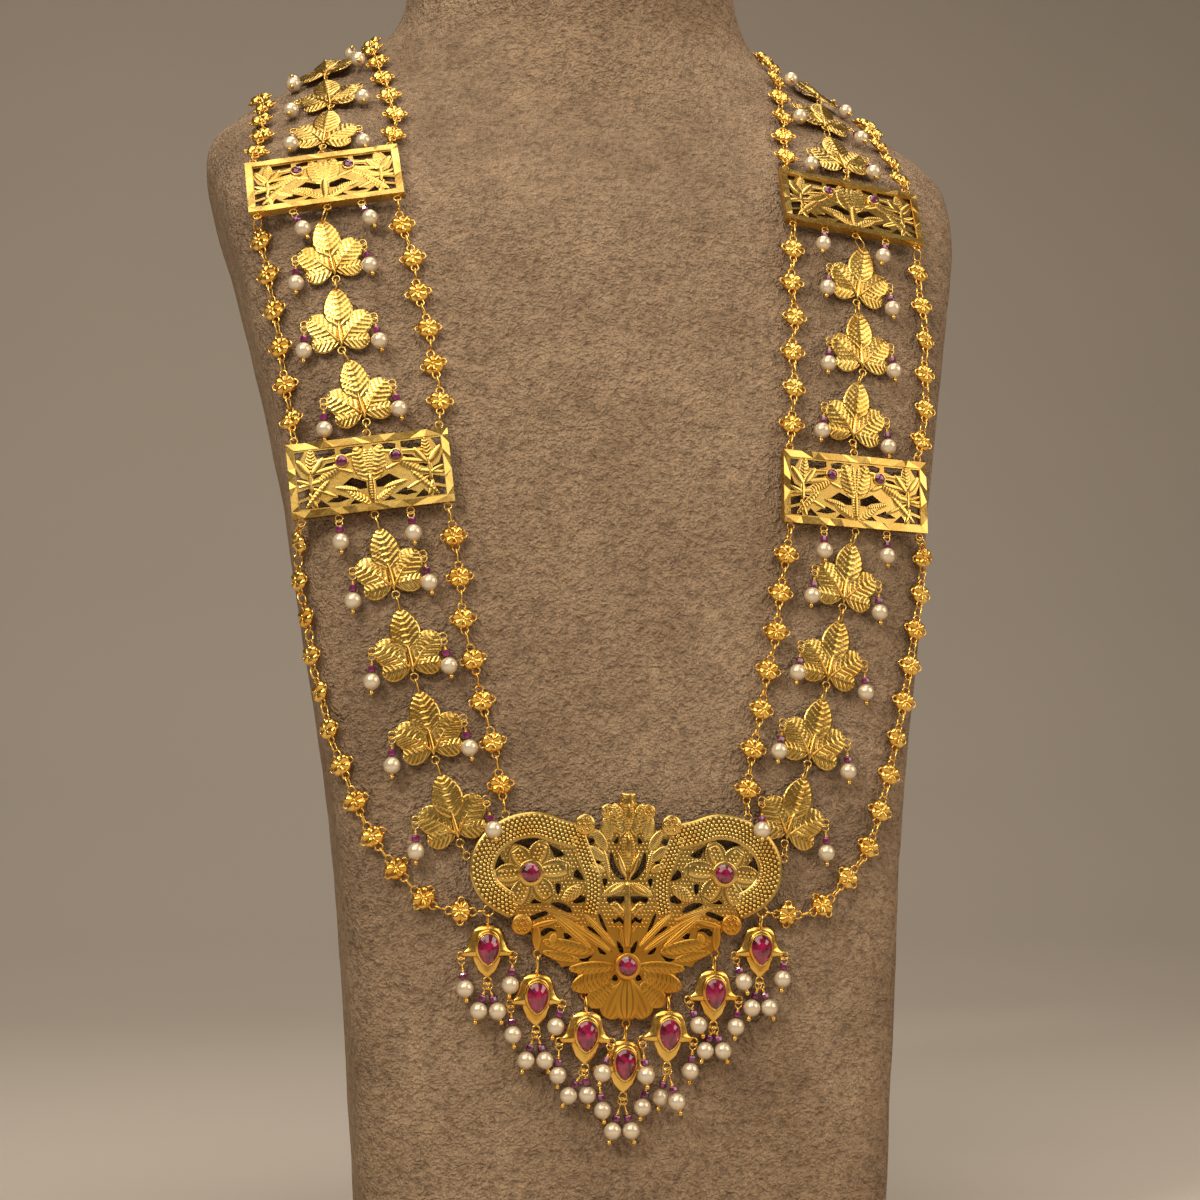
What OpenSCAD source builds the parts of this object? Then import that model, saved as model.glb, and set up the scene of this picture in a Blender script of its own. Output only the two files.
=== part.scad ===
// Rani haar: a long necklace of flower chains, leaf strands and pierced plaques
// with a large centre pendant, laid on a plain neck bust.
// X is to the right as seen from the front, Y goes back, Z is up.
// The origin is the middle of the bust's flat base.

/* [Bust] */
// Height of the bust from its base to the cut of the neck
bust_h = 455; // [450:1:460]
// How far the necklace lies to the left of the bust's middle
necklace_shift = 4; // [0:0.5:5]
// How far the chest bows back per square millimetre of sideways distance
chest_bow = 0.00077; // [0.0006:0.00001:0.0009]

/* [Chain] */
// Distance from a flower's middle to the middle of its upper or lower ring
ring_reach = 3.5; // [3.4:0.05:3.6]
// Distance from a flower's middle to the middle of its side rings
side_reach = 3.1; // [3:0.05:3.2]
// Radius of a flower over its petals
flower_r = 2.7; // [2.6:0.05:2.8]
// Height of the rings' plane over the bust
chain_lift = 2.2; // [2.1:0.05:2.4]

/* [Rings and wire] */
// Hole radius of a small ring
hole_r = 0.85; // [0.85:0.01:0.9]
// Outer radius of a small ring
ring_r = 1.4; // [1.38:0.01:1.45]
// Thickness of a ring
ring_t = 0.45; // [0.4:0.01:0.5]
// Wire width of the oval links
wire = 0.5; // [0.45:0.01:0.55]
// Half width of an oval link
link_half = 1.6; // [1.5:0.01:1.65]

/* [Leaves] */
// Thickness of a leaf plate
leaf_t = 0.8; // [0.7:0.05:1]

/* [Plaques] */
// Width of a plaque
plaque_w = 48.4; // [48:0.1:49]
// Height of a plaque
plaque_h = 22.8; // [22.4:0.1:23]
// Depth of a plaque's side walls
plaque_d = 2.6; // [2.4:0.1:2.8]
// Width of a plaque's border
border = 2.1; // [2:0.05:2.3]

/* [Pearls] */
// Diameter of a pearl
pearl_d = 5.2; // [5:0.05:5.3]
// Radius of a pearl's drilled hole
drill_r = 0.5; // [0.48:0.01:0.55]
// Radius of a head pin
pin_r = 0.35; // [0.3:0.01:0.36]

/* [Pendant] */
// Thickness of the pendant's plate
plate_t = 1.2; // [1:0.05:1.4]
// Sideways lean of the pendant in degrees
pendant_lean = -0.9; // [-1.2:0.1:0]
// Radius of the three round stones
ruby_r = 2.85; // [2.7:0.05:2.9]

/* [Hidden] */
$fn = 24;

SIDES = ["left", "right"];

// Rows of the bust, from the base up: height, half width, front, middle and back in Y,
// share of the chest bow, and the exponents of the front and back curves
BUST_ROWS = [
    [0, 78, -57, -26, 56, 1, 7, 2.8],
    [80, 83, -58, -26, 62, 1, 7, 2.8],
    [118, 85.7, -57.5, -25, 67, 1, 7, 2.8],
    [148, 88.7, -57, -24, 71, 1, 7, 2.8],
    [178, 93.5, -55, -22, 76, 1, 7, 2.8],
    [208, 98, -53, -19, 82, 1, 7, 2.8],
    [238, 102, -50, -14, 88, 1, 7, 2.8],
    [268, 108, -46, -7, 93, 1, 7, 2.8],
    [298, 114.5, -39.7, 1, 98, 1, 7, 2.8],
    [320, 120, -34, 8, 101, 1, 6.5, 2.8],
    [338, 125, -26, 17, 104, 1, 5.5, 2.8],
    [355, 128.5, -15, 27, 107, 1, 4.2, 2.8],
    [367, 128, -7, 33, 109, 0.7, 2.4, 2.2],
    [377, 119, -3.5, 37, 110, 0.4, 1.75, 1.8],
    [387, 104, -2.5, 42, 111, 0.2, 1.5, 1.6],
    [397, 88, -2, 45, 112, 0, 1.4, 1.5],
    [406, 72, -1.5, 49, 112.5, 0, 1.5, 1.6],
    [414, 64.5, -2, 52, 113, 0, 1.7, 1.8],
    [424, 60, -2.5, 55, 113, 0, 2, 2],
    [440, 58, -3, 55, 113, 0, 2, 2],
    [bust_h, 57.5, -2.5, 55, 112.5, 0, 2, 2]];

// One column of the bust's rows as a table over the height
function bust_column(i) = [for (row = BUST_ROWS) [row[0], row[i]]];
HALF_WIDTH = bust_column(1);
FRONT = bust_column(2);
MIDDLE = bust_column(3);
BACK = bust_column(4);
BOW = bust_column(5);
FRONT_CURVE = bust_column(6);
BACK_CURVE = bust_column(7);

// Looks a table up with its corners rounded over the smoothing height
SMOOTHING = 5;
function soft(z, table) =
    (lookup(z - SMOOTHING, table) + 2 * lookup(z, table) + lookup(z + SMOOTHING, table)) / 4;

function unit(v) = v / norm(v);
function mix(a, b, t) = a + (b - a) * t;
function bow_at(x, z) = soft(z, BOW) * chest_bow * x * x;

// Below 1 inside the bust, 1 on its surface
function bust_level(p) =
    let (across = min(abs(p[0]) / soft(p[2], HALF_WIDTH), 3),
         middle = soft(p[2], MIDDLE) + bow_at(p[0], p[2]),
         in_front = p[1] < middle,
         depth = in_front ? soft(p[2], MIDDLE) - soft(p[2], FRONT)
                          : soft(p[2], BACK) - soft(p[2], MIDDLE),
         curve = in_front ? soft(p[2], FRONT_CURVE) : soft(p[2], BACK_CURVE))
    pow(across, curve) + pow(abs(p[1] - middle) / depth, curve);

// Outward normal of the bust at a point
PROBE = 0.6;
function bust_normal(p) = unit([for (i = [0:2])
    let (step = [for (k = [0:2]) k == i ? PROBE : 0]) bust_level(p + step) - bust_level(p - step)]);

// The point where the ray from inside the bust through a guide point leaves the bust,
// raised by a lift
CORE_Y = 30;
CORE_TOP = 330;
REACH = 160;
function surface_along(from, dir, low, high, turns) =
    let (half = (low + high) / 2)
    turns == 0 ? half
    : bust_level(from + dir * half) < 1 ? surface_along(from, dir, half, high, turns - 1)
    : surface_along(from, dir, low, half, turns - 1);
function seat(guide, lift) =
    let (core = [guide[0] / 2, CORE_Y, min(guide[2], CORE_TOP)],
         dir = unit(guide - core),
         on = core + dir * surface_along(core, dir, 0, REACH, 14))
    on + bust_normal(on) * lift;

// A frame is an origin with its right, up and outward directions
function frame(origin, right, up, out) = [origin, right, up, out];
function frame_from(origin, up_hint, out, turn) =
    let (up0 = unit(up_hint - (up_hint * out) * out),
         right0 = cross(up0, out))
    frame(origin, right0 * cos(turn) + up0 * sin(turn), up0 * cos(turn) - right0 * sin(turn), out);
function in_frame(f, p) = f[0] + f[1] * p[0] + f[2] * p[1] + f[3] * p[2];
module place(f)
    multmatrix([for (i = [0:2]) [f[1][i], f[2][i], f[3][i], f[0][i]]]) children();

// Smooth curve through points: open, and closed as an outline
function bend(a, b, c, d, t) =
    0.5 * (2 * b + (c - a) * t + (2 * a - 5 * b + 4 * c - d) * t * t
           + (3 * b - a - 3 * c + d) * t * t * t);
function along(points, t) =
    let (last = len(points) - 1, i = min(floor(t), last - 1))
    bend(points[max(i - 1, 0)], points[i], points[i + 1], points[min(i + 2, last)], t - i);
function outline(points, steps) =
    let (n = len(points))
    [for (i = [0:n - 1], k = [0:steps - 1])
        bend(points[(i + n - 1) % n], points[i], points[(i + 1) % n], points[(i + 2) % n], k / steps)];

// Right half of an outline, from its top to its foot, made whole
function mirrored(points) =
    concat(points, [for (i = [len(points) - 1:-1:0]) if (points[i][0] > 0) [-points[i][0], points[i][1]]]);

// A pointed petal outline of a length and a width, from its root up
function petal_points(length, width, n = 4) =
    concat([for (i = [0:n]) [width / 2 * sin(180 * i / n), length * i / n]],
           [for (i = [n - 1:-1:1]) [-width / 2 * sin(180 * i / n), length * i / n]]);

/* Places of the pieces */

// Left and right differ a little, as the necklace lies
// Plaques: level, side, guide point, turn and how far the lower edge tips out, in degrees
PLAQUES = [
    ["low", 0, [-78.5, -45, 240], 2.6, -2],
    ["mid", 0, [-91, -19, 335.5], 5, 5],
    ["top", 0, [-83, 80, 384], -6, 0],
    ["low", 1, [71, -47, 238], 1, -2],
    ["mid", 1, [78.8, -22, 335], -3.5, 2],
    ["top", 1, [78, 80, 386], 6, 0]];
PLAQUE_LIFT = 1.4;
// Ring places along a plaque, as shares of its width: below and above
RINGS_BELOW = [-0.45, -0.22, 0, 0.22, 0.45];
RINGS_ABOVE = [-0.45, 0, 0.45];
RING_STANDOFF = 1.1;
ring_level = plaque_d / 2;

function plaque_named(level, side) = [for (p = PLAQUES) if (p[0] == level && p[1] == side) p][0];
function plaque_frame(level, side) =
    let (row = plaque_named(level, side),
         up_hint = level == "top" ? [0, 1, 0] : [0, 0.4, 1],
         on = seat(row[2], PLAQUE_LIFT + (level == "top" ? 1.9 : 0) + plaque_h / 2 * sin(abs(row[4]))),
         flat = frame_from(on, up_hint, bust_normal(on), 0),
         up = flat[2] * cos(row[4]) - flat[3] * sin(row[4]),
         right = flat[1])
    frame_from(on, up, cross(right, up), row[3]);
// Ring middles: index 0 is the outer end on both sides
function below_ring(level, side, i) =
    in_frame(plaque_frame(level, side),
        [RINGS_BELOW[side == 0 ? i : 4 - i] * plaque_w, -plaque_h / 2 - RING_STANDOFF, ring_level]);
function above_ring(level, side, i) =
    in_frame(plaque_frame(level, side),
        [RINGS_ABOVE[side == 0 ? i : 2 - i] * plaque_w, plaque_h / 2 + RING_STANDOFF, ring_level]);

// The pendant hangs upright just in front of the bust
PENDANT_GAP = 1.6;
PENDANT_Z = 118;
pendant_frame = let (lean = pendant_lean)
    frame([-necklace_shift, lookup(PENDANT_Z, FRONT) - PENDANT_GAP, PENDANT_Z],
          [cos(lean), 0, sin(lean)], [-sin(lean), 0, cos(lean)], [0, -1, 0]);
// Rings of the pendant: inner chain, leaves, outer chain with drops 1 and 7, then the other drops
BIG_HOLE_R = 1.25;
BIG_RING_R = 1.85;
INNER_RING = [36.3, 20.6];
LEAF_RING = [47.4, 8.7];
OUTER_RING = [40.7, -6.9];
DROP_RINGS = [[-40.7, -6.9], [-26.3, -19.2], [-12.2, -31], [0, -39.2], [12.2, -31], [26.3, -19.2],
              [40.7, -6.9]];
RING_Z = plate_t / 2;
function pendant_point(side, p) =
    in_frame(pendant_frame, [side == 0 ? -p[0] : p[0], p[1], RING_Z]);

// Strands: name, level, side, guide points from the upper ring to the lower, number of units
STRANDS = [
    ["inner_low_left", 0, below_ring("low", 0, 4),
        [[-54.5, -51.5, 220], [-52, -54, 195], [-46.6, -55.5, 172], [-41.5, -57.5, 148.5]],
        pendant_point(0, INNER_RING), 7],
    ["outer_low_left", 0, below_ring("low", 0, 0),
        [[-98.5, -38, 218], [-95.5, -40.5, 195], [-91, -44, 172], [-85, -48.5, 151],
         [-76.5, -52.5, 131], [-62.5, -56, 114.5], [-52, -57.5, 111.5]],
        pendant_point(0, OUTER_RING), 12],
    ["inner_mid_left", 0, below_ring("mid", 0, 4),
        [[-69, -32, 320], [-64.5, -38.5, 297.5], [-60.5, -43.5, 275.5], [-58.5, -46, 264]],
        above_ring("low", 0, 2), 6],
    ["outer_mid_left", 0, below_ring("mid", 0, 0),
        [[-112, -21, 318], [-108, -27.5, 297], [-104.5, -32.5, 275], [-102.5, -35, 263]],
        above_ring("low", 0, 0), 6],
    ["inner_top_left", 0, below_ring("top", 0, 4),
        [[-69.5, 60, 405], [-71.2, 44, 406], [-73, 29, 399], [-72, 14, 386], [-70.5, 0, 371], [-70, -10, 359]],
        above_ring("mid", 0, 2), 9],
    ["outer_top_left", 0, below_ring("top", 0, 0),
        [[-108, 58, 380], [-111, 44, 384], [-112.5, 29, 380], [-113, 14, 369], [-113, 0, 356]],
        above_ring("mid", 0, 0), 8],
    ["inner_low_right", 1, below_ring("low", 1, 4),
        [[47.5, -52.5, 215], [43.5, -54.5, 192], [38.2, -56.5, 169.5], [33.2, -58, 146.5]],
        pendant_point(1, INNER_RING), 7],
    ["outer_low_right", 1, below_ring("low", 1, 0),
        [[94.5, -42, 218], [90.5, -45.5, 195], [85.5, -48.5, 173], [79, -51.5, 150],
         [71, -54, 128], [55.5, -57, 111.5], [44.5, -58, 109.5]],
        pendant_point(1, OUTER_RING), 12],
    ["inner_mid_right", 1, below_ring("mid", 1, 4),
        [[57, -34.5, 316], [55.5, -40, 294.5], [53.5, -45, 271.5], [52, -47, 260]],
        above_ring("low", 1, 2), 6],
    ["outer_mid_right", 1, below_ring("mid", 1, 0),
        [[101.5, -26.5, 316.5], [101.5, -31.5, 294], [99.5, -36, 271.5], [97.5, -38, 260.5]],
        above_ring("low", 1, 0), 6],
    ["inner_top_right", 1, below_ring("top", 1, 4),
        [[64.8, 60, 406.5], [65.2, 44, 408], [66.5, 29, 402], [65.5, 15, 389], [64.5, 0, 373], [62, -10, 360]],
        above_ring("mid", 1, 2), 9],
    ["outer_top_right", 1, below_ring("top", 1, 0),
        [[104, 58, 384], [105, 44, 388], [105, 29, 385], [104, 15, 375], [102.5, 1, 362]],
        above_ring("mid", 1, 0), 8],
    ["inner_back_left", 0, above_ring("top", 0, 2),
        [[-54, 98, 393], [-42, 104, 388], [-29, 109, 384]], [-15, 115.6, 380], 4],
    ["outer_back_left", 0, above_ring("top", 0, 0),
        [[-78, 95, 369], [-60, 102, 366], [-42, 107.5, 364], [-26, 111, 364]], [-15, 114.2, 366], 6],
    ["inner_back_right", 1, above_ring("top", 1, 2),
        [[53, 98, 393], [41, 104, 388], [28, 109, 384]], [15, 115.6, 380], 4],
    ["outer_back_right", 1, above_ring("top", 1, 0),
        [[76, 95, 370], [60, 102, 366], [42, 107.5, 364], [26, 111, 364]], [15, 114.2, 366], 6],
    ["leaves_low_left", 0, below_ring("low", 0, 2),
        [[-77, -48, 223], [-72, -51, 202], [-66.5, -53, 178.5], [-60.5, -55.5, 155], [-53.5, -57, 131.5]],
        pendant_point(0, LEAF_RING), 4],
    ["leaves_mid_left", 0, below_ring("mid", 0, 2),
        [[-92, -30.5, 313], [-91.5, -32.5, 304], [-87.5, -38.5, 280], [-81, -44, 256.5]],
        above_ring("low", 0, 1), 3],
    ["leaves_top_left", 0, below_ring("top", 0, 2),
        [[-88, 60, 396], [-89, 44, 398], [-89.5, 30, 392], [-90.5, 16, 381], [-92, 2, 366], [-93, -8, 355]],
        above_ring("mid", 0, 1), 4],
    ["leaves_low_right", 1, below_ring("low", 1, 2),
        [[70.5, -49.5, 222.5], [65.5, -52, 199], [59.5, -54.5, 176], [52.5, -56.5, 153], [45, -58, 130.5]],
        pendant_point(1, LEAF_RING), 4],
    ["leaves_mid_right", 1, below_ring("mid", 1, 2),
        [[79.5, -32, 312], [79, -35.5, 301], [77, -40.5, 279], [72.5, -45.5, 255]],
        above_ring("low", 1, 1), 3],
    ["leaves_top_right", 1, below_ring("top", 1, 2),
        [[83, 60, 398], [83.5, 44, 400], [83.5, 30, 395], [83, 16, 385], [82, 2, 370], [81.5, -8, 359]],
        above_ring("mid", 1, 1), 4]];
function strand_named(name) = [for (s = STRANDS) if (s[0] == name) s][0];

// A strand's line over the bust as three tables over its length
LINE_STEPS = 40;
function strand_line(strand) =
    let (first = concat([strand[2]], [for (g = strand[3]) seat(g, chain_lift)], [strand[4]]),
         most = len(first) - 1,
         guides = [for (k = [0:2 * most])
             k % 2 == 0 ? first[k / 2]
             : k == 1 || k == 2 * most - 1 ? along(first, k / 2) : seat(along(first, k / 2), chain_lift)],
         line = [for (k = [0:LINE_STEPS]) along(guides, k / LINE_STEPS * (len(guides) - 1))],
         lengths = [for (k = 0, s = 0; k <= LINE_STEPS;
             s = k < LINE_STEPS ? s + norm(line[k + 1] - line[k]) : s, k = k + 1) s])
    [for (i = [0:2]) [for (k = [0:LINE_STEPS]) [lengths[k], line[k][i]]]];
function line_length(line) = line[0][LINE_STEPS][0];
function line_point(line, s) = [for (i = [0:2]) lookup(s, line[i])];
function line_frame(line, s) =
    let (on = line_point(line, s),
         up = unit(line_point(line, s - 2) - line_point(line, s + 2)),
         out0 = bust_normal(on),
         out = unit(out0 - (out0 * up) * up))
    frame(on, cross(up, out), up, out);

// Frames of a strand's units, each with a reach above and below its middle
function unit_frames(strand, above, below) =
    let (line = strand_line(strand),
         n = strand[5],
         gap = (line_length(line) - n * (above + below)) / (n + 1))
    [for (k = [0:n - 1]) line_frame(line, gap + above + k * (above + below + gap))];

/* Small parts */

// A flat ring in the X-Y plane
module flat_ring(r = ring_r, hole = hole_r)
    linear_extrude(ring_t, center = true) difference() {
        circle(r);
        circle(hole);
    }

// An oval link standing across a ring: fixed at its foot, loose in the ring at its head.
// It bites into what holds its foot and leaves a small gap to the ring at its head.
FOOT_SHIFT = 0.7;
HEAD_ROOM = 0.45;
WIDE_HALF = 1.95;
module oval_link(foot, head, out, foot_shift = FOOT_SHIFT, head_hole = hole_r, half = link_half) {
    up = unit(head - foot);
    across = cross(up, unit(out - (out * up) * up));
    length = norm(head - foot) - foot_shift - (head_hole - HEAD_ROOM);
    end_r = half - wire / 2;
    place(frame(foot + up * foot_shift, cross(up, across), up, across))
        linear_extrude(wire, center = true) difference() {
            union() {
                translate([0, end_r]) circle(half);
                translate([0, length - end_r]) circle(half);
                translate([-half, end_r]) square([2 * half, length - 2 * end_r]);
            }
            translate([0, end_r]) circle(half - wire);
            translate([0, length - end_r]) circle(half - wire);
            translate([wire - half, end_r]) square([2 * (half - wire), length - 2 * end_r]);
        }
}

// A head pin from a ring to a pearl, with its eye, bead and end ball
EYE_R = 1.2;
EYE_T = 0.7;
EYE_SHIFT = 1.45;
BEAD_R = 1.15;
BEAD_H = 1.9;
BALL_R = 0.75;
PEARL_PLAY = 0.15;
module head_pin(ring, pearl, out, hole = hole_r) {
    down = unit(pearl - ring);
    across = cross(down, unit(out - (out * down) * down));
    f = frame(pearl, cross(across, -down), across, -down);
    eye = ring + down * (EYE_SHIFT + hole - hole_r);
    head = norm(pearl - eye) - EYE_R + 0.2;
    place(frame(eye, cross(down, across), down, across)) 
        linear_extrude(EYE_T, center = true) difference() {
            circle(EYE_R);
            circle(EYE_R - wire);
        }
    place(f) {
        translate([0, 0, -pearl_d / 2 - BALL_R]) cylinder(h = head + pearl_d / 2 + BALL_R, r = pin_r);
        translate([0, 0, pearl_d / 2 + PEARL_PLAY]) cylinder(h = BEAD_H, r = BEAD_R);
        translate([0, 0, -pearl_d / 2 - PEARL_PLAY - BALL_R * 0.9]) sphere(BALL_R);
    }
}
module pearl(ring, at) {
    down = unit(at - ring);
    side = unit(cross(down, [0, 1, 0.3]));
    place(frame(at, side, cross(down, side), down)) difference() {
        sphere(pearl_d / 2, $fn = 32);
        cylinder(h = pearl_d + 1, r = drill_r, center = true);
    }
}

/* Flower chains */

PETALS = 5;
module flower_body() {
    petal_r = flower_r * 0.45;
    linear_extrude(ring_t, center = true) difference() {
        union() {
            circle(flower_r - 0.25);
            for (a = [90, 270]) rotate(a) translate([ring_reach, 0]) circle(ring_r);
            for (a = [0, 180]) rotate(a) translate([side_reach, 0]) circle(ring_r - 0.15);
        }
        for (a = [90, 270]) rotate(a) translate([ring_reach, 0]) circle(hole_r);
        for (a = [0, 180]) rotate(a) translate([side_reach, 0]) circle(hole_r - 0.15);
    }
    linear_extrude(0.9)
        for (k = [0:PETALS - 1]) rotate(k * 360 / PETALS - 90)
            translate([flower_r - petal_r - 0.35, 0]) circle(petal_r);
    translate([0, 0, 0.6]) cylinder(h = 1.3, r1 = flower_r * 0.8, r2 = flower_r * 0.35);
}

module chain(name) {
    strand = strand_named(name);
    frames = unit_frames(strand, ring_reach, ring_reach);
    last = len(frames) - 1;
    end_hole = norm(strand[4] - pendant_point(strand[1], OUTER_RING)) < 0.1 ? BIG_HOLE_R : hole_r;
    for (k = [0:last]) {
        f = frames[k];
        upper = k == 0 ? strand[2] : in_frame(frames[k - 1], [0, -ring_reach, 0]);
        color("goldenrod") union() {
            place(f) flower_body();
            oval_link(in_frame(f, [0, ring_reach, 0]), upper, f[3], half = k == 0 ? WIDE_HALF : link_half);
            if (k == last)
                oval_link(in_frame(f, [0, -ring_reach, 0]), strand[4], f[3],
                    head_hole = end_hole, half = WIDE_HALF);
        }
    }
}

/* Leaf strands */

// Right half of a leaf's outline from its tip to its foot, and the slit beside its stem
LEAF_HALF = [[0, 10.3], [2.3, 8], [3.8, 5.4], [4.1, 3.9], [6.1, 4.3], [8.5, 2.1], [9.7, -1.2],
             [8.6, -3.2], [8.2, -4.8], [7.9, -7.9], [5.8, -10.2], [2.7, -10.1], [0, -9]];
LEAF_SLIT = [[3.6, 2.3], [2, 0.3], [1.2, -2.4], [2.8, -1.1], [4.5, 1.1]];
LEAF_LOBES = [[0.9, -8.4, -27, 12.2, 5.8], [1.4, -3.8, -62, 8.4, 5.2]];
TIP_Y = 9.8;
FOOT_RING_Y = 10.35;
SIDE_RING = [10.6, -0.4];
// How far a leaf's pearls hang below its side rings, and how far out from the bust
PEARL_FALL = 9;
PEARL_LIFT = 3.3;
// Shares of the leaf's own direction and of a sideways lean in how its pearls hang
OWN_DOWN = 0.3;
LEAN = 0.13;
// Over the shoulder they lie along their strand instead, a little out from it
SHOULDER_OUT = 0.6;
// The lowest inner pearls lie over the pendant's edge
OVER_LIFT = 7.8;

module leaf_body() {
    linear_extrude(leaf_t, center = true) difference() {
        polygon(outline(mirrored(LEAF_HALF), 2));
        for (s = [-1, 1]) scale([s, 1]) polygon(LEAF_SLIT);
    }
    // Raised middle leaflet and side lobes
    linear_extrude(leaf_t / 2 + 0.6) translate([0, 0.8]) polygon(petal_points(8.4, 6));
    for (s = [-1, 1], lobe = LEAF_LOBES)
        linear_extrude(leaf_t / 2 + 0.4) scale([s, 1]) translate([lobe[0], lobe[1]]) rotate(lobe[2])
            polygon(petal_points(lobe[3], lobe[4]));
    translate([0, -FOOT_RING_Y, 0]) flat_ring();
    for (s = [-1, 1]) translate([s * SIDE_RING[0], SIDE_RING[1], 0]) flat_ring();
}

function leaf_frames(name) = unit_frames(strand_named(name), TIP_Y, FOOT_RING_Y);
function leaf_side_ring(f, s) = in_frame(f, [s * SIDE_RING[0], SIDE_RING[1], 0]);
// A pearl hangs down over the bust from its ring, leaning a little
function hung(ring, fall, lift, lean) =
    let (out = bust_normal(ring), down = unit([0, 0, -1] + out[2] * out + lean))
    seat(ring + down * fall, lift);
function leaf_pearl(name, k, s) =
    let (frames = leaf_frames(name),
         f = frames[k],
         over = name[7] == "l" && k == len(frames) - 1 && s * f[0][0] < 0)
    name[7] == "t" && k < 2 ? leaf_side_ring(f, s) + (f[1] * s * LEAN - f[2]) * PEARL_FALL + f[3] * SHOULDER_OUT
    : hung(leaf_side_ring(f, s), PEARL_FALL, over ? OVER_LIFT : PEARL_LIFT, f[1] * s * LEAN - f[2] * OWN_DOWN);
// How far a plaque's pearl hangs below its ring and stands off the bust
PLAQUE_PEARL_FALL = 7.4;
PLAQUE_PEARL_LIFT = 4.4;
function plaque_pearl(level, side, i) =
    let (ring = below_ring(level, side, i), f = plaque_frame(level, side))
    level == "top" ? ring - f[2] * PLAQUE_PEARL_FALL + f[3] * SHOULDER_OUT
    : hung(ring, PLAQUE_PEARL_FALL, PLAQUE_PEARL_LIFT, f[2] * -OWN_DOWN);

module leaves(name) {
    strand = strand_named(name);
    frames = leaf_frames(name);
    last = len(frames) - 1;
    for (k = [0:last]) {
        f = frames[k];
        upper = k == 0 ? strand[2] : in_frame(frames[k - 1], [0, -FOOT_RING_Y, 0]);
        color("gold") union() {
            place(f) leaf_body();
            oval_link(in_frame(f, [0, TIP_Y, 0]), upper, f[3], foot_shift = 0,
                half = k == 0 ? WIDE_HALF : link_half);
            if (k == last) oval_link(in_frame(f, [0, -FOOT_RING_Y, 0]), strand[4], f[3], half = WIDE_HALF);
            for (s = [-1, 1]) head_pin(leaf_side_ring(f, s), leaf_pearl(name, k, s), f[3]);
        }
    }
}

/* Plaques */

// Gaps of a plaque's right half, cut right through the web
PLAQUE_GAPS = [
    [[1.2, 8.6], [6, 8.8], [8.4, 8.2], [8, 6.6], [4.6, 6.6], [3.6, 5], [2.4, 7.2]],
    [[9.8, 8.8], [16.2, 8.8], [16.4, 6.4], [12.6, 6.2], [9.8, 7]],
    [[18.8, 8.8], [21.9, 8.8], [21.9, 5.4], [20.4, 6.2]],
    [[8.8, 5], [12.8, 4.4], [15.4, 2], [17.4, 1], [16.8, 0], [13, 1.8], [9.2, 3.4]],
    [[21.9, 4], [21.9, -1.2], [19.2, -1.4], [18.6, 0], [20.6, 1]],
    [[1.4, -2.4], [5.6, -0.6], [8.8, -2.8], [6, -4.6], [1.4, -4.4]],
    [[13.4, -2.4], [17, -2.2], [21.9, -3.4], [21.9, -6], [16.4, -4.2]],
    [[1.8, -8.8], [3.4, -5.8], [7, -8.8]],
    [[6.6, -7], [10, -5.4], [13.6, -7.4], [10, -7.8]],
    [[12.6, -8.8], [15.4, -6.4], [17.2, -8.8]],
    [[18, -8.8], [19, -6], [21.9, -6.8], [21.9, -8.8]]];
PLAQUE_STONE = [8.1, 4.7];
WEB_T = 0.9;
module plaque_body(level) {
    inner = [plaque_w - 2 * border, plaque_h - 2 * border];
    linear_extrude(plaque_d) difference() {
        square([plaque_w, plaque_h], center = true);
        square(inner, center = true);
    }
    translate([0, 0, plaque_d - WEB_T - 0.3]) linear_extrude(WEB_T) difference() {
        square(inner + [0.4, 0.4], center = true);
        for (s = [-1, 1], gap = PLAQUE_GAPS) scale([s, 1]) polygon(gap);
    }
    // Lotus on its stem, birds and stone settings stand up from the web
    relief_h = WEB_T + 0.6;
    translate([0, 0, plaque_d - WEB_T - 0.2]) {
        linear_extrude(relief_h) for (s = [-1, 1])
            scale([s, 1]) translate([0.3, -2.6]) rotate(-14) polygon(petal_points(10.4, 5));
        linear_extrude(relief_h - 0.2) for (s = [-1, 1]) {
            scale([s, 1]) translate([7, 2.6]) rotate(-98) polygon(petal_points(11, 4.2));
            scale([s, 1]) translate([18, 0.4]) rotate(4) polygon(petal_points(8, 4));
        }
        for (s = [-1, 1]) translate([s * PLAQUE_STONE[0], PLAQUE_STONE[1], 0]) cylinder(h = relief_h, r = 1.7);
    }
    for (x = RINGS_BELOW)
        translate([x * plaque_w, -plaque_h / 2 - RING_STANDOFF, ring_level]) flat_ring();
    for (x = RINGS_ABOVE) if (level != "top" || x != 0)
        translate([x * plaque_w, plaque_h / 2 + RING_STANDOFF, ring_level]) flat_ring();
}
module plaque(level, side) {
    f = plaque_frame(level, side);
    color("gold") union() {
        place(f) plaque_body(level);
        for (i = [1, 3]) head_pin(below_ring(level, side, i), plaque_pearl(level, side, i), f[3]);
    }
}

/* Pendant */

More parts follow.
